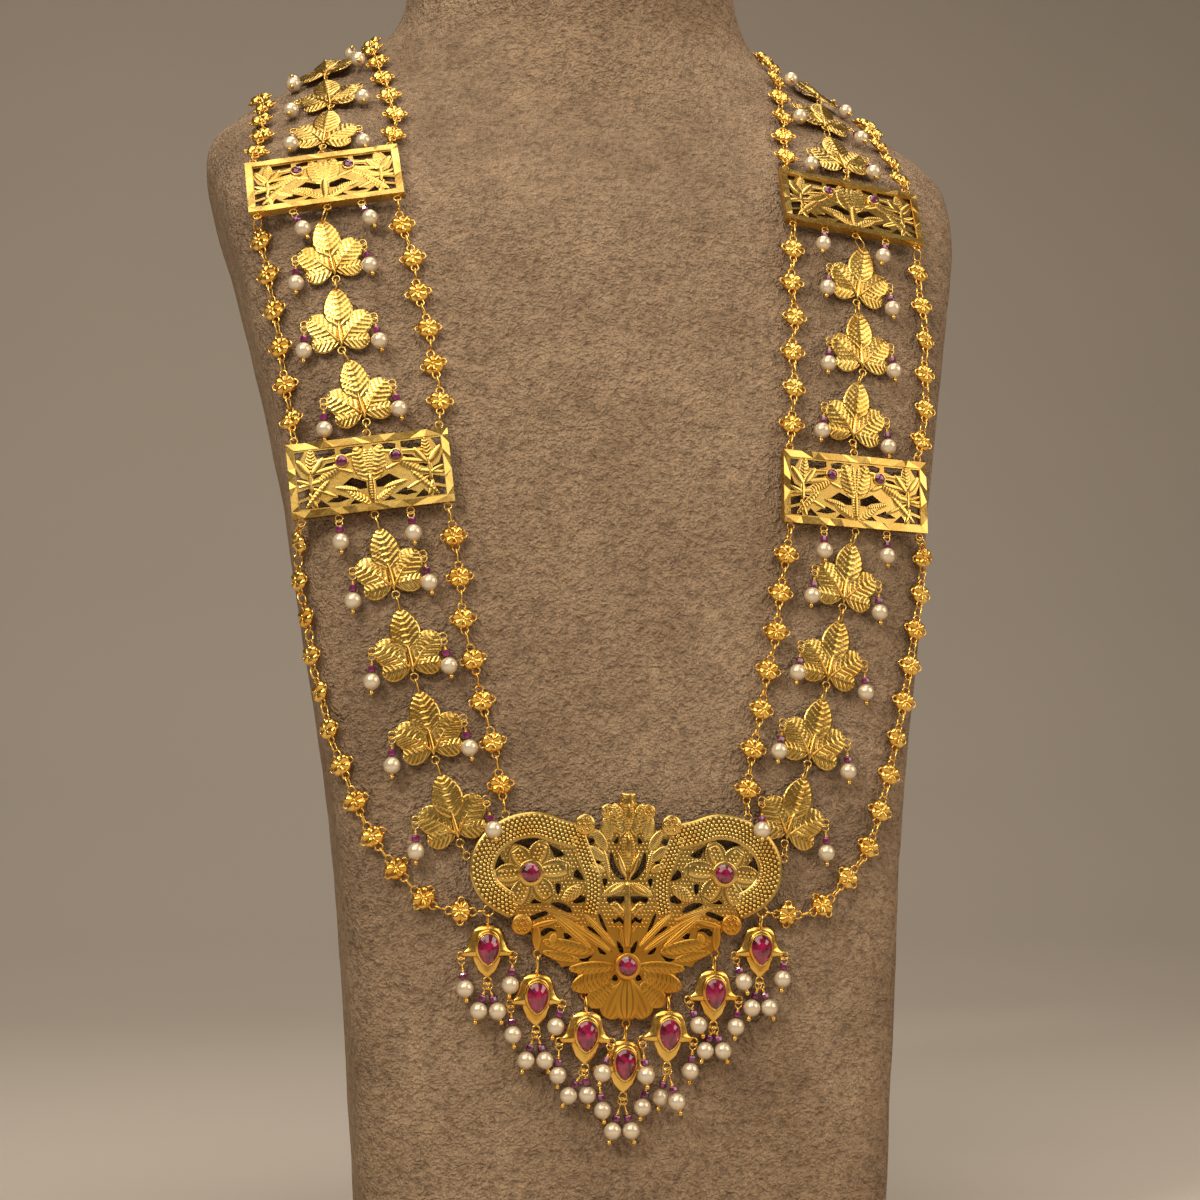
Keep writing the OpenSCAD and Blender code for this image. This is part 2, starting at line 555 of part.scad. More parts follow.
// Right half of the pendant's outline from the finial to the foot
PENDANT_HALF = [[0, 27.3], [2.3, 26.2], [2.8, 24.2], [5.2, 23.6], [7.2, 21.4], [7, 18.8], [8.8, 16.6],
    [12.8, 16], [15.9, 17.1], [19.2, 19.6], [22.5, 20.9], [26.4, 21.8], [30.8, 21.6], [35, 20.2],
    [38.8, 18.1], [41.9, 15.6], [44.3, 12.8], [45.8, 9.6], [46.3, 6.2], [45.5, 2.6], [43.9, -0.8],
    [41.6, -3.8], [38.4, -6], [34.6, -7.6], [31.4, -9.6], [29, -12], [27, -15.6], [25.6, -18.6],
    [22.6, -20.4], [20.6, -21.4], [19.2, -23], [17.4, -22.6], [15.6, -23.6], [14.4, -25.6], [14.8, -27.6],
    [13.4, -29.2], [10.8, -30.6], [9.2, -32.4], [6.9, -33.6], [5.6, -35.4], [3.4, -36.6], [1.8, -37.9],
    [0, -38.2]];
// Gaps of its right half, cut right through
PENDANT_GAPS = [
    [[34.8, 12.7], [31, 13.8], [26.2, 13.9], [28.1, 12.4], [30.1, 10.4], [31.6, 12]],
    [[38, 10.2], [37.4, 8], [36.1, 6.2], [40.2, 4.7], [39.7, 7.8]],
    [[23.8, 12.3], [21, 11], [18.7, 9.2], [21.6, 8.5], [22.3, 10]],
    [[39, 1.1], [36.6, -0.1], [33.9, -0.6], [34.4, -2.9], [36.8, -1.4]],
    [[15, 5.2], [12.8, 1.9], [16.1, 2.9]],
    [[21.4, 0.9], [19.8, 0.7], [20.2, -1.9], [21, -1.7]],
    [[26.7, -3.2], [25.1, -4.6], [28.7, -4.8]],
    [[13.8, -2.2], [12.1, -3.9], [15.2, -4.8], [16.1, -4]],
    [[20, -4.4], [16.9, -6], [16.6, -7.5], [19.3, -6.7], [22.7, -4.9]],
    [[24.3, -6.9], [23.6, -8], [26.2, -9], [28, -9.8], [29, -8.7]],
    [[25.8, -13.5], [24.5, -12], [22.4, -11.8], [20.7, -12.8], [22.7, -12.8], [24.6, -14.2]],
    [[18.8, -13.2], [15.7, -13.9], [17.4, -15.1], [18.5, -16.1], [19.3, -15.6], [18.5, -14.5]],
    [[13.5, 14.2], [10.4, 14], [9.9, 13.2], [11.5, 11.8]],
    [[3, 14.6], [3, 12.7], [4.4, 13]],
    [[5.4, 9.7], [5.2, 6], [3.4, 3.1], [1.2, 1.9], [0.9, 2.8], [2.6, 4.7], [3.9, 7.2], [4.6, 9.7]],
    [[9.6, 7.5], [8, 7.4], [9.1, 5.9]],
    [[7.5, 2.4], [6, 2.2], [6.8, -0.1]],
    [[6, -2.9], [1, -2.6], [1, -3.7], [2, -5], [3.6, -3.9], [5.5, -4.7]],
    [[4.4, -8.9], [3.5, -9.4], [2.5, -8.4], [1, -10], [1, -11.3], [2.3, -9.8], [3.9, -10.5]],
    [[8.7, -7.7], [7.8, -8.2], [6.8, -10.5], [5.8, -13], [7, -12.2], [8.1, -9.9]],
    [[12.1, -11.3], [10.7, -11.5], [8.6, -12.8], [7.4, -14.6], [9.3, -13.5], [11, -12.5]],
    [[8.7, -17.1], [5.9, -19.3], [8, -19.1]],
    [[3.1, -15.4], [2, -16.2], [1.1, -17.7], [1.1, -19], [2.2, -18.8], [2.8, -17.3]],
    [[14.3, -20.8], [12.3, -20.4], [10, -19.5], [11.2, -20.8], [12, -21.7]],
    [[4.5, -26.6], [3.6, -25], [2.6, -26.2], [3, -27]]];
// Middle lines of the granulated bands, outer lobe and inner arm, with half widths
LOBE_LINE = [[15, 14.6], [20.5, 15.9], [27, 17.8], [34, 16.6], [40, 12.4], [42.8, 6.4], [41.6, 0.6],
             [38, -3.2], [33, -5.8]];
ARM_LINE = [[15, 14.6], [12.6, 8.4], [10.4, 2.6], [10.2, -3], [11, -7.4]];
LOBE_HALF = 3.1;
ARM_HALF = 1.7;
RUBY_SIDE = [28.8, 4];
RUBY_LOW = [0, -22.7];
PETAL_LENGTHS = [12.8, 10.6, 11.6, 11.4, 9.6, 10.6];
PETAL_START = -6;
DISC_R = 3;
DISCS = [[12.9, 18.1], [31.1, -10.8]];
FAN_RIBS = [0, 24, 46, 66];

// A band of even width along a line of points
function band_points(points, half, n) =
    let (count = len(points) - 1,
         line = [for (k = [0:n]) along(points, k / n * count)],
         sides = [for (k = [0:n])
             let (d = unit(line[min(k + 1, n)] - line[max(k - 1, 0)])) [-d[1], d[0]] * half])
    concat([for (k = [0:n]) line[k] + sides[k]], [for (k = [n:-1:0]) line[k] - sides[k]]);

BEZEL_WALL = 0.6;
BEZEL_H = 2.8;
module bezel(r) {
    difference() {
        cylinder(h = BEZEL_H, r = r + BEZEL_WALL + 0.1);
        translate([0, 0, BEZEL_H - 1.1]) cylinder(h = 2, r = r + 0.1);
    }
}
module pendant_half() {
    translate([0, 0, plate_t / 2]) {
        linear_extrude(plate_t / 2 + 0.7) polygon(band_points(LOBE_LINE, LOBE_HALF, 16));
        linear_extrude(plate_t / 2 + 0.5) polygon(band_points(ARM_LINE, ARM_HALF, 8));
        for (k = [0:5]) linear_extrude(plate_t / 2 + 0.5)
            translate(RUBY_SIDE) rotate(PETAL_START + 60 * k) rotate(90)
                translate([0, 1.5]) polygon(petal_points(PETAL_LENGTHS[k] - 2.6, 5.6));
        for (at = DISCS) translate(at) cylinder(h = plate_t / 2 + 1, r = DISC_R);
        // Leaves of the finial, bird's neck and fan
        linear_extrude(plate_t / 2 + 0.5) {
            translate([3.2, 15]) rotate(-22) polygon(petal_points(8.6, 4));
            translate([8.4, 8]) rotate(-10) polygon(petal_points(7, 3));
            translate([7, -18.6]) rotate(-72) polygon(petal_points(15, 4.4));
        }
        for (a = FAN_RIBS) linear_extrude(plate_t / 2 + 0.4)
            translate(RUBY_LOW) rotate(-180 + a) translate([0, 4]) polygon(petal_points(9, 2.6));
    }
    translate(RUBY_SIDE) bezel(ruby_r);
    for (ring = [INNER_RING, LEAF_RING]) translate([ring[0], ring[1], RING_Z]) flat_ring();
}
module pendant_plate() {
    color("darkgoldenrod") place(pendant_frame) {
        linear_extrude(plate_t) difference() {
            union() {
                polygon(outline(mirrored(PENDANT_HALF), 2));
                for (s = [-1, 1], at = DISCS) translate([s * at[0], at[1]]) circle(DISC_R);
            }
            for (s = [-1, 1], gap = PENDANT_GAPS) scale([s, 1]) polygon(gap);
        }
        for (s = [-1, 1]) scale([s, 1, 1]) pendant_half();
        translate([0, 0, plate_t / 2]) {
            linear_extrude(plate_t / 2 + 0.8) translate([0, 8]) polygon(petal_points(18.6, 4.6));
            linear_extrude(plate_t / 2 + 0.5) translate([0, -12]) square([1.6, 13], center = true);
        }
        translate(RUBY_LOW) bezel(ruby_r);
        for (i = [0:6]) translate([DROP_RINGS[i][0], DROP_RINGS[i][1], RING_Z])
            if (i == 0 || i == 6) flat_ring(BIG_RING_R, BIG_HOLE_R);
            else flat_ring();
    }
}

// A cut stone: flat table, sloped crown, girdle and sloped back over an outline
GIRDLE = 0.5;
CROWN = 0.9;
CULET = 0.7;
module cut_stone(points) {
    rings = [[0, 0.6], [CULET, 1], [CULET + GIRDLE, 1], [CULET + GIRDLE + CROWN, 0.62]];
    n = len(points);
    middle = [for (i = [0:1]) let (all = [for (p = points) p[i]]) (max(all) + min(all)) / 2];
    corners = [for (ring = rings, p = points)
        let (q = middle + (p - middle) * ring[1]) [q[0], q[1], ring[0]]];
    polyhedron(corners, concat(
        [[for (i = [0:n - 1]) i]],
        [[for (i = [n - 1:-1:0]) i + 3 * n]],
        [for (k = [0:2], i = [0:n - 1])
            let (j = (i + 1) % n) [i + k * n, i + (k + 1) * n, j + (k + 1) * n, j + k * n]]));
}
STONE_SIDES = 12;
module round_ruby(at) {
    color("crimson") place(pendant_frame) translate([at[0], at[1], BEZEL_H - 1.1 + 0.1])
        cut_stone([for (i = [0:STONE_SIDES - 1])
            (ruby_r - 0.05) * [cos(360 * i / STONE_SIDES), sin(360 * i / STONE_SIDES)]]);
}

/* Drops */

// Drops from left to right: place of the plate's top on the pendant, turn in degrees
// and lift over the bust
DROPS = [[-40.8, -11.2, 0, 2.2], [-26.3, -24.9, -1, 2.2], [-12, -35.6, -2, 3.6], [-0.4, -43.9, -2.6, 2.2],
         [12.4, -35.4, -3, 3.6], [26.1, -23.9, -1, 2.2], [40.2, -11.2, -1, 2.2]];
// Their pearls, left, right and the pair below: place across and up, and lift over the bust
DROP_PEARLS = [
    [[-47.7, -29.3, 3], [-34.4, -28.2, 3], [-43.6, -35.5, 3], [-38, -35.6, 3]],
    [[-33.4, -42.2, 3], [-20.9, -39.9, 3], [-29.5, -49.4, 3], [-23.9, -49.4, 3]],
    [[-20.1, -53.6, 3], [-7.7, -52.6, 7], [-16.9, -59.4, 3], [-11.4, -59.2, 3]],
    [[-6.9, -63.6, 3], [4.9, -62.9, 3], [-3.9, -69.5, 3], [1.6, -69.5, 3]],
    [[5, -53.4, 7], [19, -52.8, 3], [10.2, -60.1, 3], [14.2, -61, 6.9]],
    [[21.4, -39.7, 3], [32.8, -40.3, 3], [23.4, -47, 3], [28.9, -47.1, 3]],
    [[35.2, -27.4, 3], [47.4, -26.6, 3], [37.7, -34.9, 3], [43.2, -34.9, 3]]];
// Right half of a drop's bell, and of the pointed lobe below it
BELL_HALF = [[0, 0], [2.9, -0.5], [4.4, -2.2], [5, -4.6], [5.9, -6.6], [7.7, -8], [6.8, -8.9], [4, -8.7],
             [2, -8.9], [0, -9]];
LOBE_HALF_POINTS = [[0, -5], [2.6, -6.6], [3.3, -9], [2.4, -12.4], [0, -15]];
DROP_EDGE_RING = [7.6, -8.6];
DROP_FOOT_RING = [0, -15.9];
// Pear outline of a drop's stone, tip down, from its middle
PEAR = [for (i = [0:STONE_SIDES - 1])
    let (a = 90 + 360 * i / STONE_SIDES) [3 * cos(a) * (0.78 + 0.22 * sin(a)), 4.5 * sin(a)]];
STONE_AT = [0, -6.8];
PEAR_BACK = 1.5;

function drop_frame(i) =
    let (row = DROPS[i],
         at = in_frame(pendant_frame, [row[0], row[1], 0]),
         on = seat(at, row[3]))
    frame_from([at[0], on[1], at[2]], [0, 0, 1], [0, -1, 0], row[2]);
function drop_rings(i) =
    let (f = drop_frame(i),
         e = DROP_EDGE_RING,
         foot = in_frame(f, [DROP_FOOT_RING[0], DROP_FOOT_RING[1], 0]))
    [in_frame(f, [-e[0], e[1], 0]), in_frame(f, [e[0], e[1], 0]), foot, foot];
function drop_pearl_at(i, k) =
    let (row = DROP_PEARLS[i][k], at = in_frame(pendant_frame, [row[0], row[1], 0]))
    seat(at, row[2]);

module drop(i) {
    f = drop_frame(i);
    rings = drop_rings(i);
    color("goldenrod") union() {
        place(f) {
            linear_extrude(0.9, center = true) {
                polygon(outline(mirrored(BELL_HALF), 3));
                polygon(outline(mirrored(LOBE_HALF_POINTS), 2));
            }
            // Setting of the pear stone, with a thick upper rim
            difference() {
                linear_extrude(PEAR_BACK + 1.2) translate(STONE_AT)
                    polygon([for (p = PEAR) p + unit(p) * 0.65]);
                translate([0, 0, PEAR_BACK]) linear_extrude(3) translate(STONE_AT)
                    polygon([for (p = PEAR) p + unit(p) * 0.1]);
            }
            for (s = [-1, 1]) translate([s * DROP_EDGE_RING[0], DROP_EDGE_RING[1], 0]) flat_ring();
            translate([DROP_FOOT_RING[0], DROP_FOOT_RING[1], 0]) flat_ring();
        }
        oval_link(in_frame(f, [0, -0.4, 0]), in_frame(pendant_frame,
            [DROP_RINGS[i][0], DROP_RINGS[i][1], RING_Z]), f[3], foot_shift = 0,
            head_hole = i == 0 || i == 6 ? BIG_HOLE_R : hole_r);
        for (k = [0:3]) head_pin(rings[k], drop_pearl_at(i, k), f[3]);
    }
}
module drop_ruby(i)
    color("crimson") place(drop_frame(i))
        translate([STONE_AT[0], STONE_AT[1], PEAR_BACK + 0.1]) cut_stone(PEAR);
module drop_pearls()
    color("ivory") for (i = [0:6], k = [0:3]) pearl(drop_rings(i)[k], drop_pearl_at(i, k));

module strand_pearls(side) {
    color("ivory") for (level = ["low", "mid", "top"]) {
        name = str("leaves_", level, "_", SIDES[side]);
        frames = leaf_frames(name);
        for (k = [0:len(frames) - 1], s = [-1, 1])
            pearl(leaf_side_ring(frames[k], s), leaf_pearl(name, k, s));
        for (i = [1, 3]) pearl(below_ring(level, side, i), plaque_pearl(level, side, i));
    }
}

/* Clasp and bust */

CLASP_T = 2;
module clasp() {
    out = unit([0, 1, 0.1]);
    f = frame_from([0, 115.25, 373], [0, 0, 1], out, 0);
    color("goldenrod") place(f) {
        linear_extrude(CLASP_T, center = true) square([25, 19], center = true);
        for (x = [-15, 15], z = [-7, 7]) translate([x, z, 0]) flat_ring(2.8);
    }
}

BUST_SIDES = 32;
BUST_LEVELS = concat([for (z = [0:26:312]) z], [for (z = [324:8:428]) z], [440, bust_h - 2, bust_h]);
EDGE_INSET = 1.5;
// One level of the bust as a ring of points, drawn in a little at its top and base edges
function bust_ring(z) =
    let (inset = z == 0 || z == bust_h ? EDGE_INSET : 0)
    [for (i = [0:BUST_SIDES - 1])
        let (a = 360 * i / BUST_SIDES,
             in_front = sin(a) < 0,
             curve = in_front ? soft(z, FRONT_CURVE) : soft(z, BACK_CURVE),
             r = pow(pow(abs(cos(a)), curve) + pow(abs(sin(a)), curve), -1 / curve),
             x = r * cos(a) * (soft(z, HALF_WIDTH) - inset),
             depth = in_front ? soft(z, MIDDLE) - soft(z, FRONT) : soft(z, BACK) - soft(z, MIDDLE))
        [x, soft(z, MIDDLE) + bow_at(x, z) + r * sin(a) * (depth - inset), z]];
module bust() {
    rings = [for (z = BUST_LEVELS) bust_ring(z)];
    n = BUST_SIDES;
    last = len(rings) - 1;
    color("rosybrown") polyhedron([for (ring = rings) each ring], concat(
        [[for (i = [0:n - 1]) i]],
        [[for (i = [n - 1:-1:0]) i + last * n]],
        [for (k = [0:last - 1], i = [0:n - 1])
            let (j = (i + 1) % n) [i + k * n, i + (k + 1) * n, j + (k + 1) * n, j + k * n]]));
}

bust();
pendant_plate();
round_ruby([-RUBY_SIDE[0], RUBY_SIDE[1]]);  // pendant_ruby_left
round_ruby(RUBY_SIDE);  // pendant_ruby_right
round_ruby(RUBY_LOW);  // pendant_ruby_low
for (i = [0:6]) {
    drop(i);
    drop_ruby(i);
}
drop_pearls();
for (side = [0, 1]) {
    for (level = ["low", "mid", "top"]) {
        plaque(level, side);
        leaves(str("leaves_", level, "_", SIDES[side]));
    }
    for (line = ["inner_", "outer_"], level = ["low_", "mid_", "top_", "back_"])
        chain(str(line, level, SIDES[side]));
    strand_pearls(side);
}
clasp();
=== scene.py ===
"""Long temple necklace on a plain neck bust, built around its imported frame."""

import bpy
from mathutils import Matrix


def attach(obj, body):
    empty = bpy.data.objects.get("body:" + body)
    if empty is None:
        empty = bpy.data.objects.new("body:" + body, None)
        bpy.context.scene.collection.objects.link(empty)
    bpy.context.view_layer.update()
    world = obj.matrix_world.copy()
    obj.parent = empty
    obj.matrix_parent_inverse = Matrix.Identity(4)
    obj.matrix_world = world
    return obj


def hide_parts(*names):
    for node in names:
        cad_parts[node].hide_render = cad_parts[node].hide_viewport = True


bl_info = {
    "name": "Long temple necklace",
    "version": (1, 0, 0),
    "blender": (4, 5, 0),
    "location": "View3D > Sidebar > Necklace",
    "description": "Flower chains, leaf strands, plaques, pendant and drops on a plaster bust",
    "category": "Object",
}

from collections import namedtuple
from functools import lru_cache
from math import cos, floor, log, pi, radians, sin

import bmesh
import bpy
from mathutils import Matrix, Vector, noise

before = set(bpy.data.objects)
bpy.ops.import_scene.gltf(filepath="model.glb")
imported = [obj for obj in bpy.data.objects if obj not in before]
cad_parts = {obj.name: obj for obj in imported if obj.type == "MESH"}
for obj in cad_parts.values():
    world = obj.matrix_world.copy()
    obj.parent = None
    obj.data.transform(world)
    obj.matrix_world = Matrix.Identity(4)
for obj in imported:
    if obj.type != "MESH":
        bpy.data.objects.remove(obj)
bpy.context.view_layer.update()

MM = 0.001
BODY = "root"
SIDES = ("left", "right")


# Bust surface, in millimetres. Each row: height, half width, front, middle, back, share of the
# chest's bow, and the roundness of the front and back curves
BUST_ROWS = [
    [0, 78, -57, -26, 56, 1, 7, 2.8],
    [80, 83, -58, -26, 62, 1, 7, 2.8],
    [118, 85.7, -57.5, -25, 67, 1, 7, 2.8],
    [148, 88.7, -57, -24, 71, 1, 7, 2.8],
    [178, 93.5, -55, -22, 76, 1, 7, 2.8],
    [208, 98, -53, -19, 82, 1, 7, 2.8],
    [238, 102, -50, -14, 88, 1, 7, 2.8],
    [268, 108, -46, -7, 93, 1, 7, 2.8],
    [298, 114.5, -39.7, 1, 98, 1, 7, 2.8],
    [320, 120, -34, 8, 101, 1, 6.5, 2.8],
    [338, 125, -26, 17, 104, 1, 5.5, 2.8],
    [355, 128.5, -15, 27, 107, 1, 4.2, 2.8],
    [367, 128, -7, 33, 109, 0.7, 2.4, 2.2],
    [377, 119, -3.5, 37, 110, 0.4, 1.75, 1.8],
    [387, 104, -2.5, 42, 111, 0.2, 1.5, 1.6],
    [397, 88, -2, 45, 112, 0, 1.4, 1.5],
    [406, 72, -1.5, 49, 112.5, 0, 1.5, 1.6],
    [414, 64.5, -2, 52, 113, 0, 1.7, 1.8],
    [424, 60, -2.5, 55, 113, 0, 2, 2],
    [440, 58, -3, 55, 113, 0, 2, 2],
    [455, 57.5, -2.5, 55, 112.5, 0, 2, 2]]
CHEST_BOW = 0.00077
SMOOTHING = 5.0
PROBE = 0.6
# Rays towards the surface start near this line inside the bust
CORE_Y = 30.0
CORE_TOP = 330.0
REACH = 160.0
SEAT_TURNS = 14
WIDTH, FRONT, MIDDLE, BACK, BOW, FRONT_CURVE, BACK_CURVE = range(1, 8)


def lookup(x, table):
    """Straight-line value of a table of (key, value) rows, held at its ends."""
    if x <= table[0][0]:
        return table[0][1]
    for low, high in zip(table, table[1:]):
        if x <= high[0]:
            return low[1] + (high[1] - low[1]) * (x - low[0]) / (high[0] - low[0])
    return table[-1][1]


BUST_COLUMNS = [[(row[0], row[i]) for row in BUST_ROWS] for i in range(8)]


@lru_cache(maxsize=200000)
def soft(z, column):
    """A bust column at a height, with its corners rounded."""
    table = BUST_COLUMNS[column]
    return (lookup(z - SMOOTHING, table) + 2 * lookup(z, table) + lookup(z + SMOOTHING, table)) / 4


def bow_at(x, z):
    return soft(z, BOW) * CHEST_BOW * x * x


def bust_level(p):
    """Below 1 inside the bust, 1 on its surface."""
    x, y, z = p
    across = min(abs(x) / soft(z, WIDTH), 3)
    mid = soft(z, MIDDLE)
    middle = mid + bow_at(x, z)
    front = y < middle
    depth = mid - soft(z, FRONT) if front else soft(z, BACK) - mid
    curve = soft(z, FRONT_CURVE if front else BACK_CURVE)
    return across ** curve + (abs(y - middle) / depth) ** curve


def bust_normal(p):
    steps = []
    for i in range(3):
        step = Vector((0, 0, 0))
        step[i] = PROBE
        steps.append(bust_level(p + step) - bust_level(p - step))
    return Vector(steps).normalized()


def seat(guide, lift):
    """The point where the ray through a guide leaves the bust, raised by a lift."""
    guide = Vector(guide)
    core = Vector((guide.x / 2, CORE_Y, min(guide.z, CORE_TOP)))
    ray = (guide - core).normalized()
    low, high = 0.0, REACH
    for _ in range(SEAT_TURNS):
        half = (low + high) / 2
        if bust_level(core + ray * half) < 1:
            low = half
        else:
            high = half
    on = core + ray * (low + high) / 2
    return on + bust_normal(on) * lift


# Frames and lines
def frame_of(origin, right, up, out):
    """A placing matrix from an origin and three directions, in millimetres."""
    m = Matrix.Identity(4)
    for i, column in enumerate((right, up, out, origin)):
        for k in range(3):
            m[k][i] = column[k]
    return m


def frame_from(origin, up_hint, out, turn=0.0):
    up_hint, out = Vector(up_hint), Vector(out)
    up = (up_hint - up_hint.dot(out) * out).normalized()
    right = up.cross(out)
    a = radians(turn)
    return frame_of(origin, right * cos(a) + up * sin(a), up * cos(a) - right * sin(a), out)


def at(m, p):
    return m @ Vector((p[0], p[1], p[2] if len(p) > 2 else 0.0))


def axis_of(m, i):
    return m.col[i].to_3d()


def bend(a, b, c, d, t):
    """A point between b and c on the smooth curve past four points."""
    return 0.5 * (2 * b + (c - a) * t + (2 * a - 5 * b + 4 * c - d) * t * t
                  + (3 * b - a - 3 * c + d) * t ** 3)


def along(points, t):
    """Smooth open curve through points."""
    last = len(points) - 1
    i = min(floor(t), last - 1)
    near = (Vector(points[min(max(k, 0), last)]) for k in range(i - 1, i + 3))
    return bend(*near, t - i)


def outline(points, steps):
    """Smooth closed curve through points."""
    n = len(points)
    return [bend(*(Vector(points[k % n]) for k in range(i - 1, i + 3)), step / steps)
            for i in range(n) for step in range(steps)]


def mirrored(points):
    """A closed outline from its right half."""
    return list(points) + [[-p[0], p[1]] for p in reversed(points) if p[0] > 0]


def flipped(points):
    """The same outline on the left half."""
    return [[-p[0], p[1]] for p in reversed(points)]


# Places of the pieces
NECKLACE_SHIFT = 4.0
CHAIN_LIFT = 2.2
PLAQUE_W = 48.4
PLAQUE_H = 22.8
PLAQUE_D = 2.6
PLATE_T = 1.2
PENDANT_LEAN = -0.9
PENDANT_GAP = 1.6
PENDANT_Z = 118.0
RING_Z = PLATE_T / 2
RING_STANDOFF = 1.1
RING_LEVEL = PLAQUE_D / 2
PLAQUE_LIFT = 1.4
TOP_PLAQUE_LIFT = 1.9
RINGS_BELOW = [-0.45, -0.22, 0, 0.22, 0.45]
RINGS_ABOVE = [-0.45, 0, 0.45]
PEARL_RINGS = (1, 3)
# Level, side, guide point, turn and tip in degrees
PLAQUES = [
    ["low", 0, [-78.5, -45, 240], 2.6, -2],
    ["mid", 0, [-91, -19, 335.5], 5, 5],
    ["top", 0, [-83, 80, 384], -6, 0],
    ["low", 1, [71, -47, 238], 1, -2],
    ["mid", 1, [78.8, -22, 335], -3.5, 2],
    ["top", 1, [78, 80, 386], 6, 0]]
INNER_RING = [36.3, 20.6]
LEAF_RING = [47.4, 8.7]
OUTER_RING = [40.7, -6.9]
DROP_RINGS = [[-40.7, -6.9], [-26.3, -19.2], [-12.2, -31], [0, -39.2], [12.2, -31], [26.3, -19.2],
              [40.7, -6.9]]
# Place across and up on the pendant's frame, turn and lift
DROPS = [[-40.8, -11.2, 0, 2.2], [-26.3, -24.9, -1, 2.2], [-12, -35.6, -2, 3.6], [-0.4, -43.9, -2.6, 2.2],
         [12.4, -35.4, -3, 3.6], [26.1, -23.9, -1, 2.2], [40.2, -11.2, -1, 2.2]]
# Four pearls for each drop: place across and up, lift
DROP_PEARLS = [
    [[-47.7, -29.3, 3], [-34.4, -28.2, 3], [-43.6, -35.5, 3], [-38, -35.6, 3]],
    [[-33.4, -42.2, 3], [-20.9, -39.9, 3], [-29.5, -49.4, 3], [-23.9, -49.4, 3]],
    [[-20.1, -53.6, 3], [-7.7, -52.6, 7], [-16.9, -59.4, 3], [-11.4, -59.2, 3]],
    [[-6.9, -63.6, 3], [4.9, -62.9, 3], [-3.9, -69.5, 3], [1.6, -69.5, 3]],
    [[5, -53.4, 7], [19, -52.8, 3], [10.2, -60.1, 3], [14.2, -61, 6.9]],
    [[21.4, -39.7, 3], [32.8, -40.3, 3], [23.4, -47, 3], [28.9, -47.1, 3]],
    [[35.2, -27.4, 3], [47.4, -26.6, 3], [37.7, -34.9, 3], [43.2, -34.9, 3]]]
END_DROPS = (0, 6)
DROP_EDGE_RING = [7.6, -8.6]
DROP_FOOT_RING = [0, -15.9]


def plaque_frame(level, side):
    guide, turn, tip = next(p[2:] for p in PLAQUES if p[:2] == [level, side])
    up_hint = (0, 1, 0) if level == "top" else (0, 0.4, 1)
    extra = TOP_PLAQUE_LIFT if level == "top" else 0
    on = seat(guide, PLAQUE_LIFT + extra + PLAQUE_H / 2 * sin(radians(abs(tip))))
    flat = frame_from(on, up_hint, bust_normal(on))
    tip = radians(tip)
    up = axis_of(flat, 1) * cos(tip) - axis_of(flat, 2) * sin(tip)
    return frame_from(on, up, axis_of(flat, 0).cross(up), turn)


PLAQUE_FRAMES = {(p[0], p[1]): plaque_frame(p[0], p[1]) for p in PLAQUES}


def below_ring(level, side, i):
    x = RINGS_BELOW[i if side == 0 else 4 - i] * PLAQUE_W
    return at(PLAQUE_FRAMES[level, side], (x, -PLAQUE_H / 2 - RING_STANDOFF, RING_LEVEL))


def above_ring(level, side, i):
    x = RINGS_ABOVE[i if side == 0 else 2 - i] * PLAQUE_W
    return at(PLAQUE_FRAMES[level, side], (x, PLAQUE_H / 2 + RING_STANDOFF, RING_LEVEL))


LEAN = radians(PENDANT_LEAN)
PENDANT_FRAME = frame_of((-NECKLACE_SHIFT, lookup(PENDANT_Z, BUST_COLUMNS[FRONT]) - PENDANT_GAP, PENDANT_Z),
                         (cos(LEAN), 0, sin(LEAN)), (-sin(LEAN), 0, cos(LEAN)), (0, -1, 0))


def pendant_point(side, p):
    return at(PENDANT_FRAME, (-p[0] if side == 0 else p[0], p[1], RING_Z))


Strand = namedtuple("Strand", "top guides foot count")
